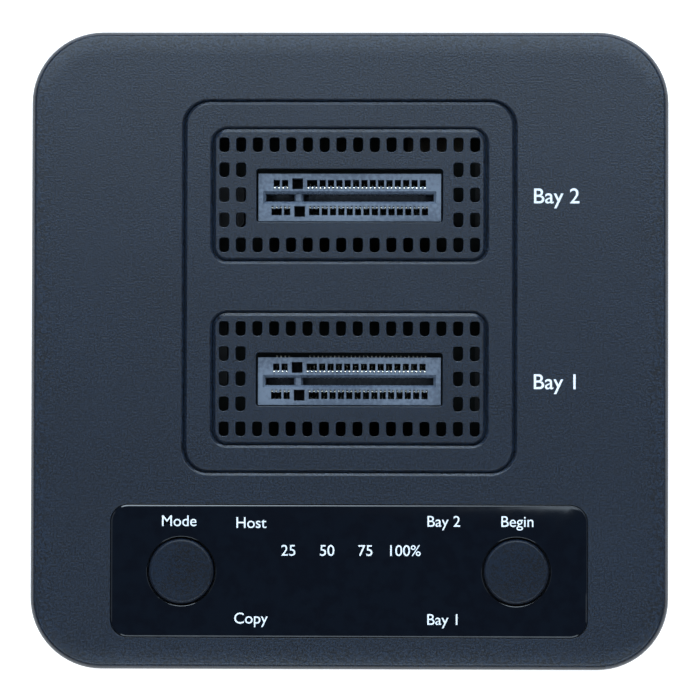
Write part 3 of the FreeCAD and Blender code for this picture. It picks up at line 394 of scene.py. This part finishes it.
def grille_tree():
    """A perforated plate: vent walls on a grid, a border, a socket opening, and the two faces."""
    tree, entry, end = geometry_tree("perforated_plate", {
        "Vent": "NodeSocketObject", "Border": "NodeSocketObject", "Opening": "NodeSocketObject",
        "Columns": "NodeSocketInt", "Rows": "NodeSocketInt", "Side columns": "NodeSocketInt",
        "Pitch across": "NodeSocketFloat", "Pitch along": "NodeSocketFloat",
        "Middle": "NodeSocketVector", "Material": "NodeSocketMaterial",
    })
    new, link, calculate = tree.nodes.new, tree.links.new, calculator(tree)

    def part_of(name):
        node = new("GeometryNodeObjectInfo")
        link(entry.outputs[name], node.inputs["Object"])
        return node.outputs["Geometry"]

    columns, rows, side_columns = (entry.outputs[n] for n in ("Columns", "Rows", "Side columns"))
    pitch_across, pitch_along = entry.outputs["Pitch across"], entry.outputs["Pitch along"]
    grid = new("GeometryNodeMeshGrid")
    link(columns, grid.inputs["Vertices X"])
    link(rows, grid.inputs["Vertices Y"])
    across = calculate("MULTIPLY", calculate("SUBTRACT", columns, 1), pitch_across)
    along = calculate("MULTIPLY", calculate("SUBTRACT", rows, 1), pitch_along)
    link(across, grid.inputs["Size X"])
    link(along, grid.inputs["Size Y"])

    position = new("GeometryNodeInputPosition")
    apart = new("ShaderNodeSeparateXYZ")
    link(position.outputs[0], apart.inputs[0])
    side_width = calculate("MULTIPLY", calculate("SUBTRACT", side_columns, 0.5), pitch_across)
    free_x = calculate("SUBTRACT", calculate("DIVIDE", across, 2), side_width)
    row_half = calculate("MULTIPLY", 0.5, pitch_along)
    free_y = calculate("SUBTRACT", calculate("DIVIDE", along, 2), row_half)
    in_x = calculate("LESS_THAN", calculate("ABSOLUTE", apart.outputs["X"]), free_x)
    in_y = calculate("LESS_THAN", calculate("ABSOLUTE", apart.outputs["Y"]), free_y)
    clear = new("GeometryNodeDeleteGeometry")
    clear.domain = "POINT"
    link(grid.outputs["Mesh"], clear.inputs["Geometry"])
    link(calculate("MULTIPLY", in_x, in_y), clear.inputs["Selection"])

    vents = new("GeometryNodeInstanceOnPoints")
    link(clear.outputs[0], vents.inputs["Points"])
    link(part_of("Vent"), vents.inputs["Instance"])
    walls = new("GeometryNodeJoinGeometry")
    for piece in (vents.outputs[0], part_of("Border"), part_of("Opening")):
        link(piece, walls.inputs[0])
    whole = new("GeometryNodeRealizeInstances")
    link(walls.outputs[0], whole.inputs[0])

    plate = new("GeometryNodeJoinGeometry")
    link(whole.outputs[0], plate.inputs[0])
    for mark in ("rim", "foot"):
        marked = new("GeometryNodeInputNamedAttribute")
        marked.data_type = "BOOLEAN"
        marked.inputs["Name"].default_value = mark
        loops = new("GeometryNodeMeshToCurve")
        link(whole.outputs[0], loops.inputs["Mesh"])
        link(marked.outputs["Attribute"], loops.inputs["Selection"])
        height = new("GeometryNodeInputPosition")
        split = new("ShaderNodeSeparateXYZ")
        link(height.outputs[0], split.inputs[0])
        level = new("GeometryNodeAttributeStatistic")
        level.domain = "POINT"
        link(whole.outputs[0], level.inputs["Geometry"])
        link(split.outputs["Z"], level.inputs["Attribute"])
        face = new("GeometryNodeFillCurve")
        link(loops.outputs[0], face.inputs["Curve"])
        lift = new("ShaderNodeCombineXYZ")
        link(level.outputs["Max" if mark == "rim" else "Min"], lift.inputs["Z"])
        raised = new("GeometryNodeTransform")
        link(face.outputs[0], raised.inputs["Geometry"])
        link(lift.outputs[0], raised.inputs["Translation"])
        link(raised.outputs[0], plate.inputs[0])

    merged = new("GeometryNodeMergeByDistance")
    merged.inputs["Distance"].default_value = weld_distance
    link(plate.outputs[0], merged.inputs[0])
    close_tree(tree, entry, end, merged.outputs[0])
    return tree


def outward(mesh, sharp=40.0):
    """Turns a closed mesh's faces outwards and smooths what is rounded."""
    solid = bmesh.new()
    solid.from_mesh(mesh)
    bmesh.ops.recalc_face_normals(solid, faces=solid.faces)
    solid.to_mesh(mesh)
    solid.free()
    return smoothed(mesh, sharp)


grille_thickness = 1.2 * MM
lip = 0.07 * MM
hole_courses = [(lip, 0), (0.3 * lip, -0.3 * lip), (0, -lip), (0, -grille_thickness)]
vent_width, vent_depth = 1.16 * MM, 1.76 * MM
vent_rear_radius, vent_front_radius = 0.34 * MM, 0.48 * MM
vent = wall_object(
    "vent", vent_width, vent_depth, vent_rear_radius, vent_front_radius, hole_courses, steps=4
)
low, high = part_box("target_grille")
plate_width, plate_depth, plate_radius = high.x - low.x, high.y - low.y, 1.7 * MM
border_lip, rear_lip_rise = 0.34 * MM, 0.18 * MM
border = wall_object("border", plate_width, plate_depth, plate_radius, plate_radius, [
    (-border_lip, 0), (0, -border_lip), (0, -grille_thickness),
], steps=10)
for vert in border.data.vertices:
    if math.isclose(vert.co.z, -border_lip, abs_tol=0.1 * MM) and vert.co.y > 0:
        corner_x = max(0.0, abs(vert.co.x) - plate_width / 2 + plate_radius)
        corner_y = max(0.0, abs(vert.co.y) - plate_depth / 2 + plate_radius)
        vert.co.z += rear_lip_rise * corner_y / math.hypot(corner_x, corner_y)
opening_width, opening_depth = 22.32 * MM, 6.43 * MM
opening_radius, opening_shift = 0.4 * MM, -0.065 * MM
socket_opening = wall_object(
    "socket_opening", opening_width, opening_depth, opening_radius, opening_radius, hole_courses
)
socket_opening.data.transform(Matrix.Translation((0, opening_shift, 0)))
perforated_plate = grille_tree()
for bay in ("target", "source"):
    low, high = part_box(bay + "_grille")
    mesh = grown_mesh(bay + "_vent_plate", perforated_plate, {
        "Vent": vent, "Border": border, "Opening": socket_opening,
        "Columns": 16, "Rows": 5, "Side columns": 2,
        "Pitch across": 2.0 * MM, "Pitch along": 3.0 * MM,
        "Middle": (0, (low.y + high.y) / 2, high.z), "Material": case_plastic,
    })
    finished(mesh.name, outward(mesh, 20.0), case_plastic, "case", "case", bay + "_grille")
for carrier in (vent, border, socket_opening):
    bpy.data.objects.remove(carrier)


# ---- Card sockets ----------------------------------------------------------------------------
# Each socket's housing is moulded in blue-grey liquid-crystal polymer, whose flow shows as
# faint clouds. It stands in its plate's opening, a little below the top face.
socket_plastic = moulded_plastic(
    "socket_plastic", dark=(0.06, 0.078, 0.112), light=(0.118, 0.145, 0.19),
    roughness=0.42, pit_size=0.4 * MM, bump=0.1, clouding=0.5,
)
contact_pitch = 0.5  # millimetres
key_positions = 4
rear_row, front_row = (37, 4), (38, 5)  # positions, and contacts before the key


def contact_places(positions, before_key):
    """Where one row's contacts stand along the socket, in millimetres."""
    places = [(i - (positions - 1) / 2) * contact_pitch for i in range(positions)]
    return places[:before_key], places[before_key + key_positions:]


def add_block(shell, middle, size):
    """Adds a box of this size round this middle to a working shell."""
    matrix = Matrix.Translation(middle) @ Matrix.Diagonal((*size, 1))
    bmesh.ops.create_cube(shell, size=1.0, matrix=matrix)


def block_object(name, blocks):
    """One object of many blocks, each given as x0, x1, y0, y1, z0, z1 in metres."""
    many = bmesh.new()
    for x0, x1, y0, y1, z0, z1 in blocks:
        add_block(many, ((x0 + x1) / 2, (y0 + y1) / 2, (z0 + z1) / 2), (x1 - x0, y1 - y0, z1 - z0))
    return linked(name, as_mesh(many, name))


def socket_housing(bay):
    """The socket, with a notch for every contact, dividers between them and a low key rib."""
    low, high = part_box(bay + "_socket")
    middle, top = (low.y + high.y) / 2, high.z

    def block(x0, x1, side, near, far, foot, crown):
        """Limits of a block, from millimetres off the slot's middle line and below its top."""
        y0, y1 = sorted((middle + side * near * MM, middle + side * far * MM))
        return x0 * MM, x1 * MM, y0, y1, top - foot * MM, top - crown * MM

    notch_half, divider_start, divider_end = 0.11, 0.12, 0.38
    # Near, far, foot and crown of each, in millimetres.
    window_notch = (1.0, 1.25, 0.6, -1.0)
    slot_notch = (0.35, 0.57, 1.5, 0.42)
    divider = (1.15, 1.34, 0.9, 0.03)
    notches, dividers = [], []
    for side, row in ((1, rear_row), (-1, front_row)):
        for run in contact_places(*row):
            for x in run:
                for notch in (window_notch, slot_notch):
                    notches.append(block(x - notch_half, x + notch_half, side, *notch))
            first = 2 + len(run) % 2
            for group in [run[:first]] + [run[i:i + 2] for i in range(first, len(run), 2)]:
                for x in group[:-1]:
                    dividers.append(block(x + divider_start, x + divider_end, side, *divider))
    rib_x, room_half, room_reach, room_depth = -6.125 * MM, 0.7 * MM, 0.45 * MM, 1.3 * MM
    notches.append((
        rib_x - room_half, rib_x + room_half, middle - room_reach, middle + room_reach,
        top - room_depth, top + MM,
    ))
    cutter = block_object("notches", notches)
    housing = as_mesh(node_shell(bay + "_socket"), "housing")
    mesh = evaluated_mesh("housing", housing, "BOOLEAN", object=cutter, solver="EXACT")
    bpy.data.objects.remove(cutter)
    extra = block_object("dividers", dividers)
    whole = bmesh.new()
    whole.from_mesh(mesh)
    whole.from_mesh(extra.data)
    bpy.data.objects.remove(extra)
    rib = [
        (-0.52, -1.35), (-0.52, -0.95), (-0.3, -0.62), (0.3, -0.62), (0.52, -0.95), (0.52, -1.35),
    ]
    rib_reach = 0.46
    ends = [
        [whole.verts.new((rib_x + x * MM, middle + y * MM, top + z * MM)) for x, z in rib]
        for y in (-rib_reach, rib_reach)
    ]
    stitch(whole, ends, downwards=False)
    for end in ends:
        whole.faces.new(end)
    rib_faces = {face for vert in ends[0] + ends[1] for face in vert.link_faces}
    bmesh.ops.recalc_face_normals(whole, faces=list(rib_faces))
    whole.to_mesh(mesh)
    whole.free()
    mesh.name = bay + "_card_socket"
    return mesh


for bay in ("target", "source"):
    finished(
        bay + "_card_socket", socket_housing(bay),
        socket_plastic, "case", "socket_plastic", bay + "_socket",
    )


# ---- Socket contacts -------------------------------------------------------------------------
# Stamped and gold-plated springs on a 0.5 mm pitch, 67 to a socket. Each runs from its solder
# tail on the board up the gallery, bears into the card slot, and ends in a tip in its window.
def plated_metal(name, colour, tarnish, roughness, spot_size):
    """A plated metal whose brightness and polish vary in small spots."""
    tones, tarnish_roughness = (0.35, 0.6), 0.12
    material, shader, _ = speckled(
        name, tarnish, colour, tones, (roughness + tarnish_roughness, roughness), spot_size
    )
    shader.inputs["Metallic"].default_value = 1.0
    return material


contact_plating = plated_metal(
    "contact_plating", colour=(0.92, 0.88, 0.78), tarnish=(0.62, 0.56, 0.44),
    roughness=0.22, spot_size=0.6 * MM,
)


def contact_spring(name):
    """One spring as a bent ribbon, rearwards of its slot's middle, with z from the board."""
    line = [
        (3.3, 0.1), (2.0, 0.1), (1.62, 0.2), (1.45, 0.5), (1.36, 1.6), (0.75, 5.0), (0.52, 6.1),
        (0.44, 6.55), (0.5, 7.0), (0.78, 7.75), (1.0, 8.45), (1.1, 8.8), (1.16, 8.9), (1.22, 8.86),
    ]
    half_thickness, half_width = 0.05, 0.075
    ribbon = bmesh.new()
    rings = []
    for i, (y, z) in enumerate(line):
        before, after = Vector(line[max(i - 1, 0)]), Vector(line[min(i + 1, len(line) - 1)])
        along = (after - before).normalized()
        side = Vector((-along.y, along.x)) * half_thickness
        rings.append([
            ribbon.verts.new((sx * half_width * MM, (y + sy * side.x) * MM, (z + sy * side.y) * MM))
            for sx, sy in ((-1, -1), (1, -1), (1, 1), (-1, 1))
        ])
    stitch(ribbon, rings, downwards=False)
    ribbon.faces.new(rings[0][::-1])
    ribbon.faces.new(rings[-1])
    bmesh.ops.recalc_face_normals(ribbon, faces=ribbon.faces)
    return linked(name, smoothed(as_mesh(ribbon, name), 40.0))


def contact_row_tree():
    """Two rows of springs on one pitch, with the key's positions left out of each."""
    tree, entry, end = geometry_tree("contact_rows", {
        "Spring": "NodeSocketObject", "Pitch": "NodeSocketFloat", "Rear positions": "NodeSocketInt",
        "Front positions": "NodeSocketInt", "Rear before key": "NodeSocketInt",
        "Front before key": "NodeSocketInt", "Key positions": "NodeSocketInt",
        "Middle": "NodeSocketVector", "Material": "NodeSocketMaterial",
    })
    new, link, calculate = tree.nodes.new, tree.links.new, calculator(tree)

    def compare(operation, a, b):
        node = new("FunctionNodeCompare")
        node.data_type = "INT"
        node.operation = operation
        link(a, node.inputs["A"])
        link(b, node.inputs["B"])
        return node.outputs[0]

    pitch = entry.outputs["Pitch"]
    spring = new("GeometryNodeObjectInfo")
    link(entry.outputs["Spring"], spring.inputs["Object"])
    rows = new("GeometryNodeJoinGeometry")
    for side, turn in (("Rear", 0.0), ("Front", math.pi)):
        count, before = entry.outputs[side + " positions"], entry.outputs[side + " before key"]
        step, start = new("ShaderNodeCombineXYZ"), new("ShaderNodeCombineXYZ")
        link(pitch, step.inputs["X"])
        span = calculate("MULTIPLY_ADD", count, pitch, calculate("MULTIPLY", pitch, -1.0))
        link(calculate("MULTIPLY", span, -0.5), start.inputs["X"])
        line = new("GeometryNodeMeshLine")
        link(count, line.inputs["Count"])
        link(step.outputs[0], line.inputs["Offset"])
        link(start.outputs[0], line.inputs["Start Location"])
        index = new("GeometryNodeInputIndex")
        key_end = calculate("ADD", before, entry.outputs["Key positions"])
        in_key = new("FunctionNodeBooleanMath")
        link(compare("GREATER_EQUAL", index.outputs[0], before), in_key.inputs[0])
        link(compare("LESS_THAN", index.outputs[0], key_end), in_key.inputs[1])
        keyed = new("GeometryNodeDeleteGeometry")
        link(line.outputs[0], keyed.inputs["Geometry"])
        link(in_key.outputs[0], keyed.inputs["Selection"])
        placed = new("GeometryNodeInstanceOnPoints")
        link(keyed.outputs[0], placed.inputs["Points"])
        link(spring.outputs["Geometry"], placed.inputs["Instance"])
        placed.inputs["Rotation"].default_value = (0, 0, turn)
        link(placed.outputs[0], rows.inputs[0])
    whole = new("GeometryNodeRealizeInstances")
    link(rows.outputs[0], whole.inputs[0])
    close_tree(tree, entry, end, whole.outputs[0])
    return tree


spring = contact_spring("spring")
contact_rows = contact_row_tree()
for bay in ("target", "source"):
    low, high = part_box(bay + "_socket_contacts")
    mesh = grown_mesh(bay + "_card_contacts", contact_rows, {
        "Spring": spring, "Pitch": contact_pitch * MM, "Key positions": key_positions,
        "Rear positions": rear_row[0], "Front positions": front_row[0],
        "Rear before key": rear_row[1], "Front before key": front_row[1],
        "Middle": (0, (low.y + high.y) / 2, low.z), "Material": contact_plating,
    })
    finished(mesh.name, mesh, contact_plating, "case", "contact", bay + "_socket_contacts")
bpy.data.objects.remove(spring)


# ---- Control panel ---------------------------------------------------------------------------
# A gloss black acrylic plate, bonded into its recess with tape. Its polished edge and
# the edges of its two button holes are slightly rounded.
gloss_acrylic = moulded_plastic(
    "gloss_acrylic", dark=(0.0006, 0.0022, 0.0058), light=(0.0014, 0.0036, 0.0078),
    roughness=0.1, pit_size=1.5 * MM, bump=0.0,
)


def panel_lip(middle):
    """Full width along the outline, and a third of it round the button holes."""
    low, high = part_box("control_panel")
    edge_foot, hole_reach, side_margin, hole_share = 25.95, 6.5, 1.5, 0.3
    inside = (
        abs(middle.y - (low.y + high.y) / 2 / MM) < hole_reach
        and abs(middle.x) < high.x / MM - side_margin
    )
    return 0.0 if middle.z < edge_foot else hole_share if inside else 1.0


panel = eased_copy("control_panel", "gloss_panel", 0.14 * MM, panel_lip, segments=1)
facet_depth, facet_slope = 0.3 * MM, 0.47
for vert in panel.vertices:
    if vert.co.z > case_top_z - facet_depth:
        vert.co.z = case_top_z - facet_slope * (case_top_z - vert.co.z)
finished("gloss_panel", panel, gloss_acrylic, "case", "gloss_panel", "control_panel")


# ---- Push buttons ----------------------------------------------------------------------------
# Two matt buttons with a faintly dished top and a rounded rim. Each cap is one moulding
# with the square flange that holds it under the cover.
button_plastic = moulded_plastic(
    "button_plastic", dark=(0.0001, 0.0008, 0.003), light=(0.003, 0.009, 0.021),
    roughness=0.32, pit_size=0.2 * MM, bump=0.5, specular=0.3,
)


def button_cap(name, node):
    """A turned cap on its square flange and stem, from the node's own limits."""
    low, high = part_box(node)
    x, y = (low.x + high.x) / 2, (low.y + high.y) / 2
    flange_half, stem_half = (high.x - low.x) / 2, 1.5 * MM
    radius, rim, dish, spokes = 3.88 * MM, 0.34 * MM, 0.1 * MM, 96
    flange_top = case_top_z - 2.3 * MM
    flange_foot = flange_top - 0.8 * MM
    profile = [(radius, flange_top)]
    for turn in (math.radians(a) for a in (0, 15, 30, 45, 60, 75, 90)):
        profile.append((radius - rim + rim * math.cos(turn), high.z - rim + rim * math.sin(turn)))
    profile += [(radius * 0.8, high.z - 0.3 * dish), (radius * 0.55, high.z - 0.7 * dish)]
    spoke_turns = [2 * math.pi * i / spokes for i in range(spokes)]
    cap = bmesh.new()
    rings = [
        [cap.verts.new((x + r * math.cos(turn), y + r * math.sin(turn), z)) for turn in spoke_turns]
        for r, z in profile
    ]
    stitch(cap, rings, downwards=False)
    cap.faces.new(rings[-1])
    cap.faces.new(rings[0][::-1])
    for half, z0, z1 in ((flange_half, flange_foot, flange_top), (stem_half, low.z, flange_foot)):
        add_block(cap, (x, y, (z0 + z1) / 2), (2 * half, 2 * half, z1 - z0))
    return smoothed(as_mesh(cap, name), 30.0)


for key in ("mode", "start"):
    finished(
        key + "_cap", button_cap(key + "_cap", key + "_button"),
        button_plastic, key + "_key", "button", key + "_button",
    )


# ---- Lettering -------------------------------------------------------------------------------
# Plain white screen print: a name beside each bay, and on the panel the lamps' names and
# the percent scale. The ink is a thin film on the surface.
ink = moulded_plastic(
    "white_ink", dark=(0.72, 0.76, 0.8), light=(0.86, 0.88, 0.9),
    roughness=0.5, pit_size=0.25 * MM, bump=0.1,
)


def printed(word, x, y, cap_height, weight):
    """A word printed on the top face, centred on x, y, in millimetres."""
    capital_share, film = 0.7, 0.006
    curve = bpy.data.curves.new("word", "FONT")
    curve.body = word
    curve.size = cap_height / capital_share
    curve.offset = weight
    curve.extrude = film
    curve.align_x = "CENTER"
    mesh = as_built(linked("word", curve), "word")
    mesh.transform(
        Matrix.Translation((x * MM, (y - cap_height / 2) * MM, case_top_z + film * MM))
        @ Matrix.Diagonal((MM, MM, MM, 1))
    )
    return mesh


def print_run(name, words, cap_height, weight):
    """Several words as one piece of print."""
    film = bmesh.new()
    for word, x, y in words:
        film.from_mesh(printed(word, x, y, cap_height, weight))
    finished(name, as_mesh(film, name), ink, "case", "case")


print_run("bay_names", [("Bay 2", 24.7, 18.5), ("Bay 1", 24.7, -3.7)], cap_height=1.8, weight=0.014)
print_run("panel_names", [
    ("Mode", -20.3, -20.4), ("Host", -11.7, -20.6), ("Bay 2", 11.3, -20.4), ("Begin", 20.1, -20.4),
    ("Copy", -11.7, -32.0), ("Bay 1", 11.3, -32.1),
], cap_height=1.3, weight=0.003)
print_run("progress_scale", [
    ("25", -7.2, -23.9), ("50", -2.6, -23.9), ("75", 2.0, -23.9), ("100%", 6.6, -23.9),
], cap_height=1.3, weight=0.003)


# ---- Feet ------------------------------------------------------------------------------------
# Four stick-on pads of black rubber, moulded with rounded corners and edges. Each covers the
# head of a case screw.
foot_rubber = moulded_plastic(
    "foot_rubber", dark=(0.012, 0.012, 0.013), light=(0.025, 0.025, 0.027),
    roughness=0.85, pit_size=0.35 * MM, bump=0.6,
)
foot_radius, foot_ease = 2.6 * MM, 0.35 * MM
for foot in ("foot_front_left", "foot_rear_left", "foot_front_right", "foot_rear_right"):
    low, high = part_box(foot)
    middle = (low + high) / 2
    pad = bmesh.new()
    loops = []
    for growth, z in ((0, high.z), (0, foot_ease), (-0.1 * MM, 0.1 * MM), (-foot_ease, 0)):
        width, depth = high.x - low.x + 2 * growth, high.y - low.y + 2 * growth
        outline = rounded_outline(width, depth, foot_radius + growth, foot_radius + growth, 8)
        loops.append([pad.verts.new((middle.x + p.x, middle.y + p.y, z)) for p in outline])
    stitch(pad, loops)
    pad.faces.new(loops[0])
    pad.faces.new(loops[-1][::-1])
    mesh = as_mesh(pad, foot + "_pad")
    finished(mesh.name, outward(mesh), foot_rubber, "case", "foot", foot)


# ---- Rear ports ------------------------------------------------------------------------------
# A USB-C receptacle in a drawn steel shell, a barrel jack with a turned centre pin, and
# a slide switch whose knob has three grip ridges.
shell_steel = plated_metal(
    "shell_steel", colour=(0.6, 0.6, 0.61), tarnish=(0.42, 0.42, 0.43),
    roughness=0.32, spot_size=0.8 * MM,
)
pin_plating = plated_metal(
    "pin_plating", colour=(0.55, 0.53, 0.5), tarnish=(0.4, 0.38, 0.35),
    roughness=0.35, spot_size=0.5 * MM,
)
port_plastic = moulded_plastic(
    "port_plastic", dark=(0.008, 0.008, 0.009), light=(0.016, 0.016, 0.018),
    roughness=0.45, pit_size=0.25 * MM, bump=0.2,
)


def painted(node, material):
    """Gives a CAD node its finish."""
    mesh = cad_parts[node].data
    mesh.materials.clear()
    mesh.materials.append(material)


painted("usb_port_shell", shell_steel)
painted("usb_port_tongue", port_plastic)
painted("power_jack_body", port_plastic)
painted("power_jack_pin", pin_plating)
painted("power_jack_leaf", pin_plating)
painted("power_switch_body", shell_steel)
low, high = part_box("power_switch_slider")
carriage_depth, grip_half, ridge_height = 1.0 * MM, 1.2 * MM, 0.35 * MM
ridge_half, ridge_pitch = 0.22, 0.85  # millimetres
middle_x, carriage_y, ridge_y = (low.x + high.x) / 2, low.y + carriage_depth, high.y - ridge_height
knob_outlines = [
    (low.x, high.x, low.y, carriage_y),
    (middle_x - grip_half, middle_x + grip_half, carriage_y, ridge_y),
]
for x in (-ridge_pitch, 0, ridge_pitch):
    near_x, far_x = middle_x + (x - ridge_half) * MM, middle_x + (x + ridge_half) * MM
    knob_outlines.append((near_x, far_x, ridge_y, high.y))
knob = block_object("slide_knob", [(*outline, low.z, high.z) for outline in knob_outlines])
finished("ridged_knob", knob.data, port_plastic, "power_knob", "button", "power_switch_slider")
bpy.data.objects.remove(knob)


# ---- Circuit board and what stands on it -----------------------------------------------------
# A green-masked glass-epoxy board with its chips, inductors, capacitors, crystals, lamps and
# switches, and the screws, light guides and tape that the closed case hides.
# The mask colour is much darker than the board's own green: painted shade for the dark inside of
# the closed case, seen through the vents and the gaps round the sockets.
board_mask = moulded_plastic(
    "board_mask", dark=(0.0008, 0.0036, 0.0024), light=(0.002, 0.0065, 0.0045),
    roughness=0.5, pit_size=1.2 * MM, bump=0.2, specular=0.2,
)
chip_epoxy = moulded_plastic(
    "chip_epoxy", dark=(0.01, 0.01, 0.011), light=(0.02, 0.02, 0.022),
    roughness=0.5, pit_size=0.15 * MM, bump=0.3,
)
capacitor_body = moulded_plastic(
    "capacitor_body", dark=(0.035, 0.024, 0.012), light=(0.06, 0.042, 0.022),
    roughness=0.45, pit_size=0.3 * MM, bump=0.2,
)
lamp_epoxy = moulded_plastic(
    "lamp_epoxy", dark=(0.75, 0.7, 0.5), light=(0.86, 0.84, 0.7),
    roughness=0.2, pit_size=0.3 * MM, bump=0.05,
)
guide_acrylic = moulded_plastic(
    "guide_acrylic", dark=(0.7, 0.74, 0.76), light=(0.8, 0.83, 0.85),
    roughness=0.08, pit_size=1.0 * MM, bump=0.05,
)
black_zinc = plated_metal(
    "black_zinc", colour=(0.12, 0.12, 0.13), tarnish=(0.06, 0.06, 0.065),
    roughness=0.35, spot_size=0.4 * MM,
)
tape_foam = moulded_plastic(
    "tape_foam", dark=(0.01, 0.01, 0.01), light=(0.02, 0.02, 0.02),
    roughness=0.9, pit_size=0.2 * MM, bump=0.3,
)
for node, material in {
    "main_board": board_mask, "bridge_chips": chip_epoxy, "controller_chip": chip_epoxy,
    "memory_chip": chip_epoxy, "power_coils": chip_epoxy, "block_capacitors": capacitor_body,
    "chip_capacitors": capacitor_body, "crystals": shell_steel, "indicator_lamps": lamp_epoxy,
    "light_guides": guide_acrylic, "case_screws": black_zinc, "board_screws": black_zinc,
    "panel_tape": tape_foam, "mode_switch_body": port_plastic, "start_switch_body": port_plastic,
    "mode_switch_plunger": port_plastic, "start_switch_plunger": port_plastic,
}.items():
    painted(node, material)


# ---- Stage -----------------------------------------------------------------------------------
# A white sheet to lie on, in a white surround, under eight soft boxes: broad ones overhead,
# narrow high ones for the edges, low ones for the front and rear walls, and a weak one on
# each side.
def greatest(calculate, first, *others):
    """The greatest of several node values."""
    for value in others:
        first = calculate("MAXIMUM", first, value)
    return first


def white_sheet():
    """A matt sheet that also glows where it is seen itself, in a mirror or through glass."""
    reach, glow_strength = 3, 0.85
    sheet = bpy.data.meshes.new("floor")
    corners = [(-reach, -reach, 0), (reach, -reach, 0), (reach, reach, 0), (-reach, reach, 0)]
    sheet.from_pydata(corners, [], [(0, 1, 2, 3)])
    floor = linked("floor", sheet)
    material = bpy.data.materials.new("white_sheet")
    material.use_nodes = True
    nodes, link = material.node_tree.nodes, material.node_tree.links.new
    calculate = calculator(material.node_tree)
    diffuse = nodes["Principled BSDF"]
    diffuse.inputs["Base Color"].default_value = (0.5, 0.5, 0.5, 1)
    diffuse.inputs["Roughness"].default_value = 0.9
    rays = nodes.new("ShaderNodeLightPath").outputs
    seen = greatest(
        calculate, rays["Is Camera Ray"], rays["Is Glossy Ray"], rays["Is Transmission Ray"]
    )
    glow = nodes.new("ShaderNodeEmission")
    glow.inputs["Color"].default_value = (1, 1, 1, 1)
    link(calculate("MULTIPLY", glow_strength, seen), glow.inputs["Strength"])
    both = nodes.new("ShaderNodeAddShader")
    link(diffuse.outputs[0], both.inputs[0])
    link(glow.outputs[0], both.inputs[1])
    link(both.outputs[0], nodes["Material Output"].inputs["Surface"])
    sheet.materials.append(material)


def white_surround():
    """A world that is white where it is seen, mirrors white near the horizon, and lights dimly."""
    mirror_top, mirror_full, dim = 0.3, 0.1, 0.08
    world = bpy.data.worlds.new("studio")
    bpy.context.scene.world = world
    world.use_nodes = True
    nodes, link = world.node_tree.nodes, world.node_tree.links.new
    calculate = calculator(world.node_tree)
    backdrop = nodes["Background"]
    backdrop.inputs["Color"].default_value = (1, 1, 1, 1)
    rays = nodes.new("ShaderNodeLightPath").outputs
    direction = nodes.new("ShaderNodeTexCoord")
    apart = nodes.new("ShaderNodeSeparateXYZ")
    link(direction.outputs["Generated"], apart.inputs[0])
    horizon = nodes.new("ShaderNodeMapRange")
    horizon.inputs["From Min"].default_value = mirror_top
    horizon.inputs["From Max"].default_value = mirror_full
    link(apart.outputs["Z"], horizon.inputs["Value"])
    seen = greatest(
        calculate, calculate("MULTIPLY", horizon.outputs[0], rays["Is Glossy Ray"]),
        rays["Is Camera Ray"], rays["Is Transmission Ray"],
    )
    level = nodes.new("ShaderNodeMapRange")
    level.inputs["To Min"].default_value = dim
    level.inputs["To Max"].default_value = 1.0
    link(seen, level.inputs["Value"])
    link(level.outputs[0], backdrop.inputs["Strength"])


def soft_light(name, place, aim, size, watts, mirrored=True):
    """A rectangular soft box, with or without its mirror image in glossy surfaces."""
    cool_white = (0.71, 0.86, 1.0)
    data = bpy.data.lights.new(name, "AREA")
    data.shape = "RECTANGLE"
    data.size, data.size_y = size
    data.energy = watts
    data.color = cool_white
    light = linked(name, data)
    light.matrix_world = Matrix.Translation(place) @ (
        (Vector(aim) - Vector(place)).to_track_quat("-Z", "Y").to_matrix().to_4x4()
    )
    light.visible_camera = False
    light.visible_glossy = mirrored


white_sheet()
white_surround()
middle = (0, 0, 0)
soft_light("rear_soft_box", (0, 0.305, 0.65), (0, 0.305, 0), size=(0.8, 0.4), watts=3.6)
soft_light("rear_high_box", (0, 0.8, 0.7), middle, size=(0.9, 0.14), watts=4.0)
soft_light("rear_low_box", (0, 1.1, 0.36), middle, size=(1.2, 0.5), watts=16.0, mirrored=False)
soft_light("front_soft_box", (0, -0.28, 0.62), (0, -0.28, 0), size=(0.7, 0.2), watts=1.8)
soft_light("front_high_box", (0, -0.8, 0.7), middle, size=(0.9, 0.14), watts=1.4)
soft_light("front_low_fill", (0.1, -1.1, 0.22), middle, size=(1.0, 0.3), watts=4.0, mirrored=False)
soft_light("left_soft_box", (-0.5, 0.1, 0.5), middle, size=(0.4, 0.3), watts=0.2)
soft_light("right_soft_box", (0.5, 0.1, 0.5), middle, size=(0.4, 0.3), watts=0.3)
